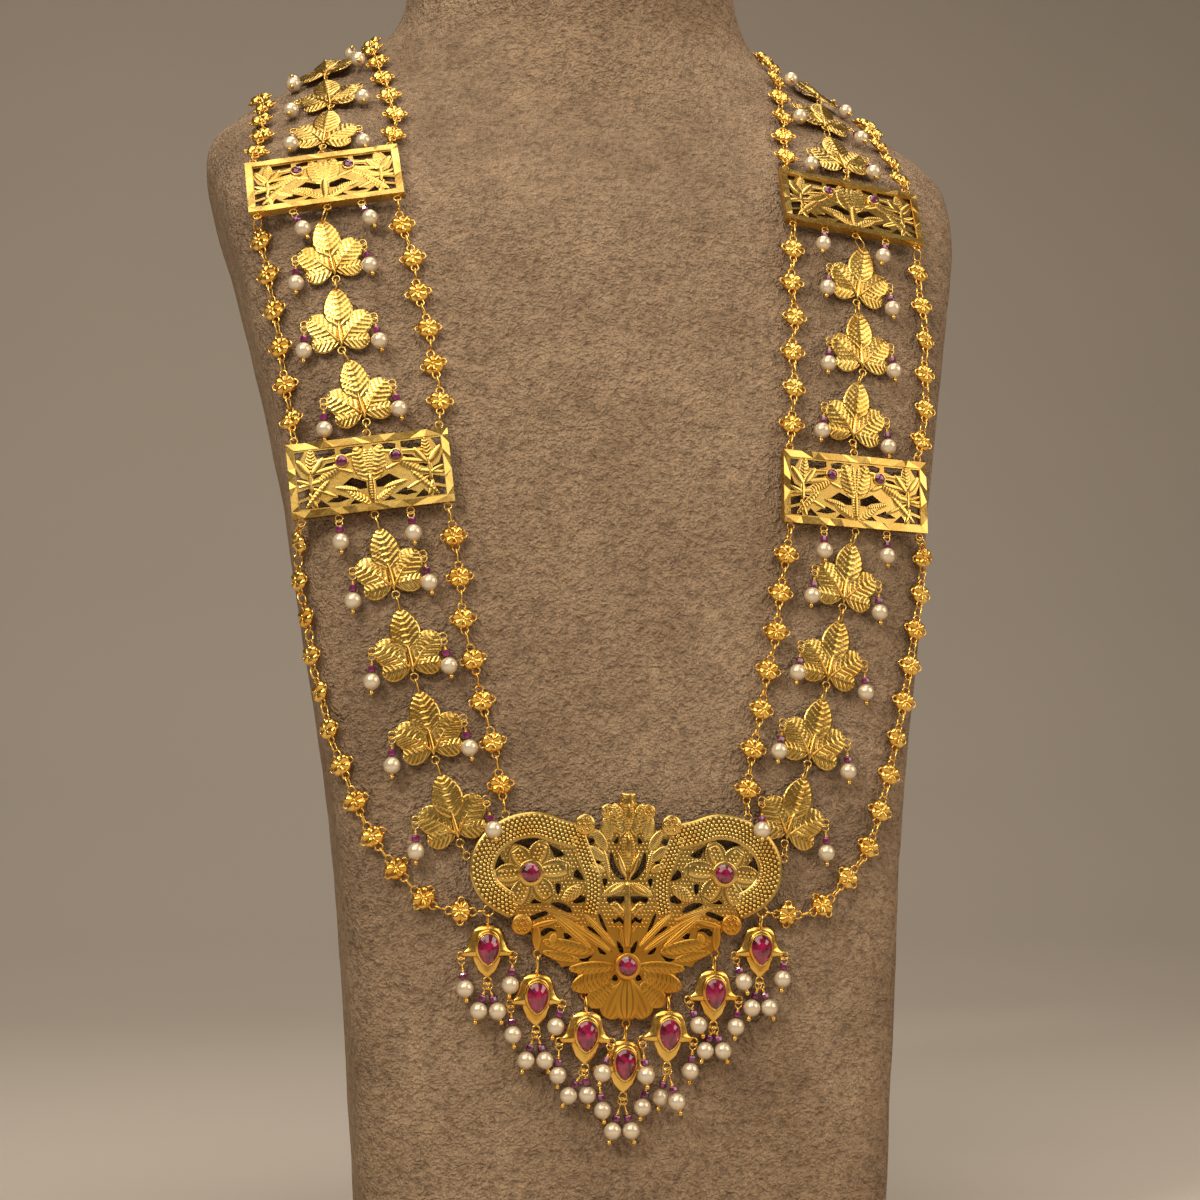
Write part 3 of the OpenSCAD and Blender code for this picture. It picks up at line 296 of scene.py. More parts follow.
# Kind, level, number of flowers or leaves, and guide points of a run on the left and on the right
RUNS = [
    ("inner", "low", 7,
     [[-54.5, -51.5, 220], [-52, -54, 195], [-46.6, -55.5, 172], [-41.5, -57.5, 148.5]],
     [[47.5, -52.5, 215], [43.5, -54.5, 192], [38.2, -56.5, 169.5], [33.2, -58, 146.5]]),
    ("outer", "low", 12,
     [[-98.5, -38, 218], [-95.5, -40.5, 195], [-91, -44, 172], [-85, -48.5, 151], [-76.5, -52.5, 131],
      [-62.5, -56, 114.5], [-52, -57.5, 111.5]],
     [[94.5, -42, 218], [90.5, -45.5, 195], [85.5, -48.5, 173], [79, -51.5, 150], [71, -54, 128],
      [55.5, -57, 111.5], [44.5, -58, 109.5]]),
    ("inner", "mid", 6,
     [[-69, -32, 320], [-64.5, -38.5, 297.5], [-60.5, -43.5, 275.5], [-58.5, -46, 264]],
     [[57, -34.5, 316], [55.5, -40, 294.5], [53.5, -45, 271.5], [52, -47, 260]]),
    ("outer", "mid", 6,
     [[-112, -21, 318], [-108, -27.5, 297], [-104.5, -32.5, 275], [-102.5, -35, 263]],
     [[101.5, -26.5, 316.5], [101.5, -31.5, 294], [99.5, -36, 271.5], [97.5, -38, 260.5]]),
    ("inner", "top", 9,
     [[-69.5, 60, 405], [-71.2, 44, 406], [-73, 29, 399], [-72, 14, 386], [-70.5, 0, 371],
      [-70, -10, 359]],
     [[64.8, 60, 406.5], [65.2, 44, 408], [66.5, 29, 402], [65.5, 15, 389], [64.5, 0, 373],
      [62, -10, 360]]),
    ("outer", "top", 8,
     [[-108, 58, 380], [-111, 44, 384], [-112.5, 29, 380], [-113, 14, 369], [-113, 0, 356]],
     [[104, 58, 384], [105, 44, 388], [105, 29, 385], [104, 15, 375], [102.5, 1, 362]]),
    ("inner", "back", 4,
     [[-54, 98, 393], [-42, 104, 388], [-29, 109, 384]],
     [[53, 98, 393], [41, 104, 388], [28, 109, 384]]),
    ("outer", "back", 6,
     [[-78, 95, 369], [-60, 102, 366], [-42, 107.5, 364], [-26, 111, 364]],
     [[76, 95, 370], [60, 102, 366], [42, 107.5, 364], [26, 111, 364]]),
    ("leaves", "low", 4,
     [[-77, -48, 223], [-72, -51, 202], [-66.5, -53, 178.5], [-60.5, -55.5, 155], [-53.5, -57, 131.5]],
     [[70.5, -49.5, 222.5], [65.5, -52, 199], [59.5, -54.5, 176], [52.5, -56.5, 153], [45, -58, 130.5]]),
    ("leaves", "mid", 3,
     [[-92, -30.5, 313], [-91.5, -32.5, 304], [-87.5, -38.5, 280], [-81, -44, 256.5]],
     [[79.5, -32, 312], [79, -35.5, 301], [77, -40.5, 279], [72.5, -45.5, 255]]),
    ("leaves", "top", 4,
     [[-88, 60, 396], [-89, 44, 398], [-89.5, 30, 392], [-90.5, 16, 381], [-92, 2, 366],
      [-93, -8, 355]],
     [[83, 60, 398], [83.5, 44, 400], [83.5, 30, 395], [83, 16, 385], [82, 2, 370], [81.5, -8, 359]]),
]
# Rings that a run hangs from: below the plaque above it, above the plaque below it, on the pendant
RUN_RINGS = {"inner": (4, 2, INNER_RING), "outer": (0, 0, OUTER_RING), "leaves": (2, 1, LEAF_RING)}
CLASP_ENDS = {"inner": (15, 115.6, 380), "outer": (15, 114.2, 366)}
LEVEL_BELOW = {"top": "mid", "mid": "low"}


def run_ends(kind, level, side):
    """The points that a run's first and last links hold."""
    below, above, on_pendant = RUN_RINGS[kind]
    if level == "back":
        x, y, z = CLASP_ENDS[kind]
        return above_ring("top", side, above), (x if side else -x, y, z)
    if level == "low":
        foot = pendant_point(side, on_pendant)
    else:
        foot = above_ring(LEVEL_BELOW[level], side, above)
    return below_ring(level, side, below), foot


def both_sides():
    """Every run on the left and on the right, by name."""
    made = {}
    for kind, level, count, *guides in RUNS:
        for side in (0, 1):
            top, foot = run_ends(kind, level, side)
            made["%s_%s_%s" % (kind, level, SIDES[side])] = Strand(top, guides[side], foot, count)
    return made


STRANDS = both_sides()
# Outline of the pendant's right half, and the gaps pierced in it
PENDANT_HALF = [[0, 27.3], [2.3, 26.2], [2.8, 24.2], [5.2, 23.6], [7.2, 21.4], [7, 18.8], [8.8, 16.6],
    [12.8, 16], [15.9, 17.1], [19.2, 19.6], [22.5, 20.9], [26.4, 21.8], [30.8, 21.6], [35, 20.2],
    [38.8, 18.1], [41.9, 15.6], [44.3, 12.8], [45.8, 9.6], [46.3, 6.2], [45.5, 2.6], [43.9, -0.8],
    [41.6, -3.8], [38.4, -6], [34.6, -7.6], [31.4, -9.6], [29, -12], [27, -15.6], [25.6, -18.6],
    [22.6, -20.4], [20.6, -21.4], [19.2, -23], [17.4, -22.6], [15.6, -23.6], [14.4, -25.6], [14.8, -27.6],
    [13.4, -29.2], [10.8, -30.6], [9.2, -32.4], [6.9, -33.6], [5.6, -35.4], [3.4, -36.6], [1.8, -37.9],
    [0, -38.2]]
PENDANT_GAPS = [
    [[34.8, 12.7], [31, 13.8], [26.2, 13.9], [28.1, 12.4], [30.1, 10.4], [31.6, 12]],
    [[38, 10.2], [37.4, 8], [36.1, 6.2], [40.2, 4.7], [39.7, 7.8]],
    [[23.8, 12.3], [21, 11], [18.7, 9.2], [21.6, 8.5], [22.3, 10]],
    [[39, 1.1], [36.6, -0.1], [33.9, -0.6], [34.4, -2.9], [36.8, -1.4]],
    [[15, 5.2], [12.8, 1.9], [16.1, 2.9]],
    [[21.4, 0.9], [19.8, 0.7], [20.2, -1.9], [21, -1.7]],
    [[26.7, -3.2], [25.1, -4.6], [28.7, -4.8]],
    [[13.8, -2.2], [12.1, -3.9], [15.2, -4.8], [16.1, -4]],
    [[20, -4.4], [16.9, -6], [16.6, -7.5], [19.3, -6.7], [22.7, -4.9]],
    [[24.3, -6.9], [23.6, -8], [26.2, -9], [28, -9.8], [29, -8.7]],
    [[25.8, -13.5], [24.5, -12], [22.4, -11.8], [20.7, -12.8], [22.7, -12.8], [24.6, -14.2]],
    [[18.8, -13.2], [15.7, -13.9], [17.4, -15.1], [18.5, -16.1], [19.3, -15.6], [18.5, -14.5]],
    [[13.5, 14.2], [10.4, 14], [9.9, 13.2], [11.5, 11.8]],
    [[3, 14.6], [3, 12.7], [4.4, 13]],
    [[5.4, 9.7], [5.2, 6], [3.4, 3.1], [1.2, 1.9], [0.9, 2.8], [2.6, 4.7], [3.9, 7.2], [4.6, 9.7]],
    [[9.6, 7.5], [8, 7.4], [9.1, 5.9]],
    [[7.5, 2.4], [6, 2.2], [6.8, -0.1]],
    [[6, -2.9], [1, -2.6], [1, -3.7], [2, -5], [3.6, -3.9], [5.5, -4.7]],
    [[4.4, -8.9], [3.5, -9.4], [2.5, -8.4], [1, -10], [1, -11.3], [2.3, -9.8], [3.9, -10.5]],
    [[8.7, -7.7], [7.8, -8.2], [6.8, -10.5], [5.8, -13], [7, -12.2], [8.1, -9.9]],
    [[12.1, -11.3], [10.7, -11.5], [8.6, -12.8], [7.4, -14.6], [9.3, -13.5], [11, -12.5]],
    [[8.7, -17.1], [5.9, -19.3], [8, -19.1]],
    [[3.1, -15.4], [2, -16.2], [1.1, -17.7], [1.1, -19], [2.2, -18.8], [2.8, -17.3]],
    [[14.3, -20.8], [12.3, -20.4], [10, -19.5], [11.2, -20.8], [12, -21.7]],
    [[4.5, -26.6], [3.6, -25], [2.6, -26.2], [3, -27]]]
# Middle lines of the grained bands
LOBE_LINE = [[15, 14.6], [20.5, 15.9], [27, 17.8], [34, 16.6], [40, 12.4], [42.8, 6.4], [41.6, 0.6],
             [38, -3.2], [33, -5.8]]
ARM_LINE = [[15, 14.6], [12.6, 8.4], [10.4, 2.6], [10.2, -3], [11, -7.4]]
RUBY_SIDE = [28.8, 4]
RUBY_LOW = [0, -22.7]
PETAL_LENGTHS = [12.8, 10.6, 11.6, 11.4, 9.6, 10.6]
DISCS = [[12.9, 18.1], [31.1, -10.8]]
LINE_STEPS = 40


def strand_line(strand):
    """A strand's line over the bust: its lengths and its points."""
    first = [strand.top] + [seat(g, CHAIN_LIFT) for g in strand.guides] + [strand.foot]
    most = len(first) - 1
    guides = []
    for k in range(2 * most + 1):
        if k % 2 == 0:
            guides.append(first[k // 2])
        elif k in (1, 2 * most - 1):
            guides.append(along(first, k / 2))
        else:
            guides.append(seat(along(first, k / 2), CHAIN_LIFT))
    line = [along(guides, k / LINE_STEPS * (len(guides) - 1)) for k in range(LINE_STEPS + 1)]
    return lengths_of(line), line


def line_point(line, s):
    return Vector([lookup(s, [(l, p[i]) for l, p in zip(*line)]) for i in range(3)])


def line_frame(line, s):
    on = line_point(line, s)
    up = (line_point(line, s - 2) - line_point(line, s + 2)).normalized()
    out = bust_normal(on)
    out = (out - out.dot(up) * up).normalized()
    return frame_of(on, up.cross(out), up, out)


@lru_cache(maxsize=64)
def unit_frames(name, above, below):
    line, n = strand_line(STRANDS[name]), STRANDS[name].count
    gap = (line[0][-1] - n * (above + below)) / (n + 1)
    return [line_frame(line, gap + above + k * (above + below + gap)) for k in range(n)]


# Rings of flowers and leaves, and where their pearls hang
RING_REACH = 3.5
SIDE_REACH = 3.1
SIDE_RING_LESS = 0.15
TIP_Y = 9.8
FOOT_RING_Y = 10.35
SIDE_RING = (10.6, -0.4)
PEARL_FALL = 9.0
PEARL_LIFT = 3.3
OWN_DOWN = 0.3
PEARL_LEAN = 0.13
SHOULDER_OUT = 0.6
OVER_LIFT = 7.8
PLAQUE_PEARL_FALL = 7.4
PLAQUE_PEARL_LIFT = 4.4


def leaf_frames(name):
    return unit_frames(name, TIP_Y, FOOT_RING_Y)


def leaf_side_ring(f, s):
    return at(f, (s * SIDE_RING[0], SIDE_RING[1], 0))


def hung(ring, fall, lift, lean):
    """The middle of a pearl that hangs from a ring and lies on the bust."""
    out = bust_normal(ring)
    down = (Vector((0, 0, -1)) + out * out.z + lean).normalized()
    return seat(ring + down * fall, lift)


def leaf_pearl(name, k, s):
    """Where the pearl on one side of a leaf lies."""
    frames = leaf_frames(name)
    f = frames[k]
    right, up, out = (axis_of(f, i) for i in range(3))
    level = name.split("_")[1]
    if level == "top" and k < 2:
        return leaf_side_ring(f, s) + (right * s * PEARL_LEAN - up) * PEARL_FALL + out * SHOULDER_OUT
    over = level == "low" and k == len(frames) - 1 and s * f[0][3] < 0
    return hung(leaf_side_ring(f, s), PEARL_FALL, OVER_LIFT if over else PEARL_LIFT,
                right * s * PEARL_LEAN - up * OWN_DOWN)


def plaque_pearl(level, side, i):
    ring, f = below_ring(level, side, i), PLAQUE_FRAMES[level, side]
    if level == "top":
        return ring - axis_of(f, 1) * PLAQUE_PEARL_FALL + axis_of(f, 2) * SHOULDER_OUT
    return hung(ring, PLAQUE_PEARL_FALL, PLAQUE_PEARL_LIFT, axis_of(f, 1) * -OWN_DOWN)


def drop_frame(i):
    x, y, turn, lift = DROPS[i]
    p = at(PENDANT_FRAME, (x, y, 0))
    return frame_from((p.x, seat(p, lift).y, p.z), (0, 0, 1), (0, -1, 0), turn)


def drop_rings(i):
    """The rings that hold a drop's four pearls, in the order of the pearls."""
    f, e, foot = drop_frame(i), DROP_EDGE_RING, DROP_FOOT_RING
    low = at(f, (foot[0], foot[1], 0))
    return [at(f, (-e[0], e[1], 0)), at(f, (e[0], e[1], 0)), low, low]


def drop_pearl_at(i, k):
    x, y, lift = DROP_PEARLS[i][k]
    return seat(at(PENDANT_FRAME, (x, y, 0)), lift)


# Mesh tools
# Painted shade: a per-vertex amount that darkens the gold towards a dark shade colour in cuts, hollows, sides
# and backs, and makes it rougher there
PAINTED_SHADE = "painted_shade"


def new_bmesh():
    bm = bmesh.new()
    bm.verts.layers.float.new(PAINTED_SHADE)
    return bm


def paint_shade(bm, verts, painted_shade):
    layer = bm.verts.layers.float[PAINTED_SHADE]
    for v in verts:
        v[layer] = painted_shade


def written(bm, name="unit"):
    """The mesh of a bmesh, which is then freed."""
    mesh = bpy.data.meshes.new(name)
    bm.to_mesh(mesh)
    bm.free()
    return mesh


def smooth_faces(bm, most=None):
    """Smooths every face, or only those with at most so many corners."""
    for f in bm.faces:
        f.smooth = most is None or len(f.verts) <= most


def as_mesh(bm, smooth=False):
    """A unit mesh in millimetres, with its faces pointing outwards."""
    bmesh.ops.recalc_face_normals(bm, faces=bm.faces)
    if smooth:
        smooth_faces(bm)
    return written(bm)


def lengths_of(line):
    """How far along a line each of its points lies."""
    lengths = [0.0]
    for a, b in zip(line, line[1:]):
        lengths.append(lengths[-1] + (b - a).length)
    return lengths


def stamp(bm, mesh, place):
    """Adds a placed copy of a unit mesh."""
    copy = mesh.copy()
    copy.transform(place)
    if place.determinant() < 0:
        copy.flip_normals()
    bm.from_mesh(copy)
    bpy.data.meshes.remove(copy)


def move(x=0.0, y=0.0, z=0.0, turn=0.0, scale=1.0):
    return shift(x, y, z) @ Matrix.Rotation(radians(turn), 4, "Z") @ Matrix.Scale(scale, 4)


HERE = Matrix.Identity(4)


def mirror(side):
    """The right half as it is for 1, or its mirror image for -1."""
    return Matrix.Scale(side, 4, (1, 0, 0))


def shift(*place):
    return Matrix.Translation(place)


def edges_round(verts):
    """The edges of a loop, in the order of its corners."""
    return list(dict.fromkeys(e for v in verts for e in v.link_edges))


def bm_verts(made):
    return [g for g in made["geom"] if isinstance(g, bmesh.types.BMVert)]


def bm_faces(made):
    return [g for g in made["geom"] if isinstance(g, bmesh.types.BMFace)]


@lru_cache(maxsize=None)
def torus_mesh(major, minor, around=16, section=6):
    bm = new_bmesh()
    made = bmesh.ops.create_circle(bm, segments=section, radius=minor)
    bmesh.ops.rotate(bm, verts=made["verts"], matrix=Matrix.Rotation(pi / 2, 3, "X"))
    bmesh.ops.translate(bm, verts=bm.verts, vec=(major, 0, 0))
    bmesh.ops.spin(bm, geom=bm.verts[:] + bm.edges[:], axis=(0, 0, 1), angle=2 * pi,
                   steps=around, use_merge=True)
    return as_mesh(bm, smooth=True)


@lru_cache(maxsize=None)
def ball_mesh(radius, u=16, v=10):
    bm = new_bmesh()
    bmesh.ops.create_uvsphere(bm, u_segments=u, v_segments=v, radius=radius)
    return as_mesh(bm, smooth=True)


@lru_cache(maxsize=None)
def rod_mesh(radius, length, sides=8):
    """A closed rod from the origin along +Z."""
    bm = new_bmesh()
    bmesh.ops.create_cone(bm, cap_ends=True, segments=sides, radius1=radius, radius2=radius,
                          depth=length, matrix=shift(0, 0, length / 2))
    for f in bm.faces:
        f.smooth = len(f.verts) == 4
    return as_mesh(bm)


@lru_cache(maxsize=None)
def bead_mesh(radius=1.2, height=1.9, sides=9):
    """A short barrel with cut edges."""
    bm = new_bmesh()
    bmesh.ops.create_cone(bm, cap_ends=True, segments=sides, radius1=radius, radius2=radius, depth=height)
    rims = [e for e in bm.edges if abs(e.verts[0].co.z - e.verts[1].co.z) < 1e-4]
    bmesh.ops.bevel(bm, geom=rims, offset=0.5, segments=2, profile=0.5, affect="EDGES", material=-1)
    return as_mesh(bm)


GRAIN_FLAT = 0.8
GRAIN_SINK = 0.12
GRAIN_FOOT_SHADE = 0.75


@lru_cache(maxsize=None)
def granule_mesh(radius):
    """The upper half of a small grain of metal, sunk by a share of its radius."""
    bm = new_bmesh()
    bmesh.ops.create_uvsphere(bm, u_segments=8, v_segments=4, radius=radius)
    bmesh.ops.delete(bm, geom=[v for v in bm.verts if v.co.z < -0.01 * radius], context="VERTS")
    bmesh.ops.holes_fill(bm, edges=[e for e in bm.edges if e.is_boundary], sides=0)
    bmesh.ops.recalc_face_normals(bm, faces=bm.faces)
    for v in bm.verts:
        v.co.z = v.co.z * GRAIN_FLAT - GRAIN_SINK * radius
    # Painted shade at the grain's foot, where it meets the surface below
    paint_shade(bm, [v for v in bm.verts if v.co.z < 0.1 * radius], GRAIN_FOOT_SHADE)
    return as_mesh(bm, smooth=True)


def prism(bm, points, low, high):
    """A straight solid over an outline; gives back its top face."""
    base = bm.faces.new([bm.verts.new((p[0], p[1], low)) for p in points])
    made = bmesh.ops.extrude_face_region(bm, geom=[base])
    bmesh.ops.translate(bm, verts=bm_verts(made), vec=(0, 0, high - low))
    return bm_faces(made)[0]


def puffed(points, low, high, steps, smooth=True):
    """A solid over an outline whose top edge is rounded in steps of (inset, rise)."""
    bm = new_bmesh()
    top = prism(bm, points, low, high)
    faces = [top]
    for inset, rise in steps:
        bmesh.ops.inset_region(bm, faces=faces, thickness=inset, depth=rise, use_even_offset=True)
    for f in bm.faces:
        f.smooth = smooth and abs(f.normal.z) < 0.999
    faces[0].smooth = smooth
    return as_mesh(bm)


def skirt(bm, z, painted_shade=0.6):
    """Closes an open sheet with straight sides down to a level and a flat back, which carry a painted shade.
    """
    made = bmesh.ops.extrude_edge_only(bm, edges=[e for e in bm.edges if e.is_boundary])
    low = bm_verts(made)
    for v in low:
        v.co.z = z
    # Painted shade on the sides and back
    paint_shade(bm, low, painted_shade)
    edges = [g for g in made["geom"] if isinstance(g, bmesh.types.BMEdge)
             and all(abs(v.co.z - z) < 1e-6 for v in g.verts)]
    bmesh.ops.contextual_create(bm, geom=edges)


def fraction(x):
    return x - floor(x)


@lru_cache(maxsize=None)
def lobe_mesh(length, width, peak=0.5, fullness=0.8, dome=0.5, cuts=0, slant=0.55, depth=0.3,
              rib="vein", low=-0.4, rows=32, columns=10, midrib=0.0, duty=0.5, crest=2.0):
    """A petal or leaflet from its root along +Y.

    rib is vein (slanting cuts beside a midrib), rim (short cuts round the edge)
    or fan (cuts that spread from the root).
    """
    bm = new_bmesh()
    layer = bm.verts.layers.float[PAINTED_SHADE]
    bmesh.ops.create_grid(bm, x_segments=columns, y_segments=rows, size=1)
    power = log(0.5) / log(peak)
    for v in bm.verts:
        s, u = v.co.x, (v.co.y + 1) / 2
        half = width / 2 * max(sin(pi * min(max(u, 0.0), 1.0) ** power), 0.012) ** fullness
        z = dome * (1 - abs(s) ** crest) * min(1.0, 5 * min(u, 1 - u) + 0.15)
        cut = 0.0
        if cuts:
            if rib == "vein":
                phase = fraction(cuts * u - cuts * slant * abs(s) * half / length)
                cut = max(0.0, 1 - abs(phase - 0.5) / (duty / 2))
                cut *= min(1.0, 8 * abs(s), 3 * (1.04 - abs(s)))
            elif rib == "rim":
                edge = max(abs(s), abs(2 * u - 1) ** 2)
                phase = fraction(cuts * (u + 0.02))
                cut = max(0.0, 1 - abs(phase - 0.5) / 0.3) * (1.0 if edge > 0.66 else 0.0)
                if 0.5 < edge < 0.68:
                    cut = 0.8
            else:
                phase = fraction(cuts * (s + 1) / 2)
                cut = max(0.0, 1 - abs(phase - 0.5) / (duty / 2)) * min(1.0, 6 * u)
        z += midrib * max(0.0, 1 - abs(s) / 0.12) * min(1.0, 4 * (1 - u))
        z -= depth * cut
        # Painted shade in the cuts, as deep as each cut
        v[layer] = min(1.0, cut * 0.95)
        v.co = (s * half, u * length, z)
    smooth_faces(bm)
    skirt(bm, low)
    for f in bm.faces:
        if len(f.verts) > 4:
            f.smooth = False
    return as_mesh(bm)


def holed_plate(outer, holes, low, high, painted_shade=0.0):
    """A flat plate with holes through it, its sides, back and hole walls in a deep painted shade and its top
    in a lighter painted shade.
    """
    bm = new_bmesh()
    edges = []
    for loop in [outer] + holes:
        verts = [bm.verts.new((p[0], p[1], low)) for p in loop]
        edges += [bm.edges.new((a, b)) for a, b in zip(verts, verts[1:] + verts[:1])]
    filled = bmesh.ops.triangle_fill(bm, use_beauty=True, use_dissolve=False, edges=edges,
                                     normal=(0, 0, 1))
    made = bmesh.ops.extrude_face_region(bm, geom=bm_faces(filled))
    top = bm_verts(made)
    bmesh.ops.translate(bm, verts=top, vec=(0, 0, high - low))
    # Painted shade: deep on the sides, back and hole walls, lighter on the top
    paint_shade(bm, bm.verts, 0.9)
    paint_shade(bm, top, painted_shade)
    return as_mesh(bm)


def band_mesh(points, half, n, low, high, rim=0.35):
    """A raised band of even width along a line, with a round rim on both sides."""
    bm = new_bmesh()
    bmesh.ops.create_grid(bm, x_segments=6, y_segments=n, size=1)
    last = len(points) - 1
    layer = bm.verts.layers.float[PAINTED_SHADE]
    for v in bm.verts:
        s, u = v.co.x, (v.co.y + 1) / 2
        here = along(points, u * last)
        ahead = along(points, min(u + 0.5 / n, 1) * last) - along(points, max(u - 0.5 / n, 0) * last)
        side = Vector((ahead.y, -ahead.x)).normalized()
        place = here.to_2d() + side * half * s
        on_rim = abs(s) > 0.9
        v.co = (place.x, place.y, high + (rim if on_rim else 0.0))
        # Painted shade: the band's middle, between its rims and under its grains, is darker; the rims are
        # lighter
        v[layer] = 0.15 if on_rim else 0.7
    smooth_faces(bm)
    skirt(bm, low)
    return as_mesh(bm)


BAND_STEPS = 80
BAND_SQUEEZE = 0.86


def band_grains(bm, points, half, rows, pitch, radius, z):
    """Rows of grains over a band, each row shifted by half a step."""
    last = len(points) - 1
    line = [along(points, k / BAND_STEPS * last).to_2d() for k in range(BAND_STEPS + 1)]
    lengths = lengths_of(line)
    grain = granule_mesh(radius)
    count = int(lengths[-1] / pitch)
    for row in range(rows):
        across = (row - (rows - 1) / 2) / rows * 2 * half * BAND_SQUEEZE
        for k in range(count + 1):
            s = min((k + 0.5 * (row % 2)) * lengths[-1] / count, lengths[-1])
            i = max(next((j for j, l in enumerate(lengths) if l >= s), BAND_STEPS), 1)
            t = (s - lengths[i - 1]) / max(lengths[i] - lengths[i - 1], 1e-6)
            d = (line[i] - line[i - 1]).normalized()
            p = line[i - 1].lerp(line[i], t) + Vector((d.y, -d.x)) * across
            stamp(bm, grain, shift(p.x, p.y, z))


# Wire parts. Holes and rings by radius, and how far a link or eye sits from a ring's middle
WIRE = 0.5
LINK_HALF = 1.6
WIDE_HALF = 1.95
HOLE_R = 0.85
RING_R = 1.4
BIG_HOLE_R = 1.25
BIG_RING_R = 1.85
FOOT_SHIFT = 0.7
HEAD_ROOM = 0.45
EYE_R = 1.2
EYE_SHIFT = 1.45
BEAD_H = 1.9
BALL_R = 0.75
PEARL_R = 2.6
PEARL_GAP = 0.15
PIN_R = 0.2
WRAPS = 3
LINK_R = 0.3


def ring_at(bm, m, p, hole=HOLE_R, outer=RING_R):
    stamp(bm, torus_mesh((hole + outer) / 2, (outer - hole) / 2), m @ shift(*p))


def link_at(bm, foot, head, out, foot_shift=FOOT_SHIFT, head_hole=HOLE_R, half=LINK_HALF):
    """An oval link standing across a ring, from its foot to its head."""
    up = (head - foot).normalized()
    across = up.cross((out - out.dot(up) * up).normalized())
    length = (head - foot).length - foot_shift - (head_hole - HEAD_ROOM)
    end_r = half - WIRE / 2
    mesh = torus_mesh(end_r, LINK_R, 12).copy()
    for v in mesh.vertices:
        v.co.y += end_r if v.co.y < 0 else max(length - end_r, end_r)
    stamp(bm, mesh, frame_of(foot + up * foot_shift, across.cross(up) * -1, up, across))
    bpy.data.meshes.remove(mesh)


def pin_at(bm, beads, ring, pearl, out, hole=HOLE_R):
    """A head pin from a ring down through its bead and pearl."""
    down = (pearl - ring).normalized()
    across = down.cross((out - out.dot(down) * down).normalized())
    face = across.cross(down)
    eye = ring + down * (EYE_SHIFT + hole - HOLE_R)
    stamp(bm, torus_mesh(EYE_R - PIN_R, PIN_R, 12), frame_of(eye, across, down, face))
    head = (pearl - eye).length - EYE_R + 0.3
    m = frame_of(pearl, across, face, -down)
    rod = rod_mesh(PIN_R, round(head + PEARL_R + BALL_R, 2))
    stamp(bm, rod, m @ shift(0, 0, -PEARL_R - BALL_R))
    top = PEARL_R + PEARL_GAP + BEAD_H
    for k in range(WRAPS):
        if top + 0.35 * (k + 1) < head:
            stamp(bm, torus_mesh(0.42 - 0.04 * k, 0.2, 12), m @ shift(0, 0, top + 0.2 + 0.38 * k))
    stamp(bm, ball_mesh(BALL_R, 14, 9), m @ shift(0, 0, -PEARL_R - PEARL_GAP - BALL_R * 0.8))
    stamp(bm, torus_mesh(0.45, 0.16, 12), m @ shift(0, 0, -PEARL_R - 0.05))
    stamp(beads, bead_mesh(), m @ shift(0, 0, PEARL_R + PEARL_GAP + BEAD_H / 2))


# Unit shapes
# Petals of a flower: direction and size
FLOWER_PETALS = ((90, 0.85), (35, 1), (145, 1), (215, 1), (325, 1), (270, 0.85))


@lru_cache(maxsize=None)
def flower_mesh():
    """A chain flower: a domed faceted star between four rings."""
    bm = new_bmesh()
    stamp(bm, puffed(circle_points(2.4, 12), -0.85, 0.35, [(0.3, 0.25)], smooth=False), HERE)
    petal = lobe_mesh(3.4, 3.3, 0.64, 0.36, 1.3, low=-0.7, rows=8, columns=6, crest=1.5)
    for angle, grow in FLOWER_PETALS:
        stamp(bm, petal, move(0, 0, 0.2, angle - 90, grow))
    stamp(bm, granule_mesh(0.8), shift(0, 0, 0.75))
    for s in (1, -1):
        ring_at(bm, HERE, (0, s * RING_REACH, 0))
        ring_at(bm, HERE, (-s * SIDE_REACH, 0, 0), HOLE_R - SIDE_RING_LESS, RING_R - SIDE_RING_LESS)
    return written(bm)


@lru_cache(maxsize=None)
def leaf_mesh():
    """A five-lobed leaf with slanting bright cuts and a raised stem."""
    bm = new_bmesh()
    fine = dict(low=-0.4, rows=40, columns=12)
    low = lobe_mesh(8.7, 6.6, 0.6, 0.5, 0.4, 6, 0.75, 0.5, **fine)
    side = lobe_mesh(12.3, 8.8, 0.62, 0.52, 0.45, 7, 0.85, 0.55, **fine)
    tip = lobe_mesh(13.0, 9.2, 0.45, 0.62, 0.5, 7, 0.9, 0.55, midrib=0.15, **fine)
    for s in (1, -1):
        stamp(bm, low, mirror(s) @ move(0.2, -7.0, 0.0, -93))
        stamp(bm, side, mirror(s) @ move(0.1, -7.0, 0.15, -47))
    stamp(bm, tip, move(0, -2.7, 0.4))
    stem = lobe_mesh(9.5, 1.5, 0.4, 0.6, 0.7, low=-0.3, rows=12, columns=4)
    stamp(bm, stem, move(0, -9.2, 0.45))
    rib = lobe_mesh(6.6, 0.9, 0.35, 0.6, 0.45, low=-0.2, rows=10, columns=4)
    for s in (1, -1):
        stamp(bm, rib, mirror(s) @ move(0.3, -7.6, 0.55, -40))
        ring_at(bm, HERE, (s * SIDE_RING[0], SIDE_RING[1], 0))
    ring_at(bm, HERE, (0, -FOOT_RING_Y, 0))
    return written(bm)


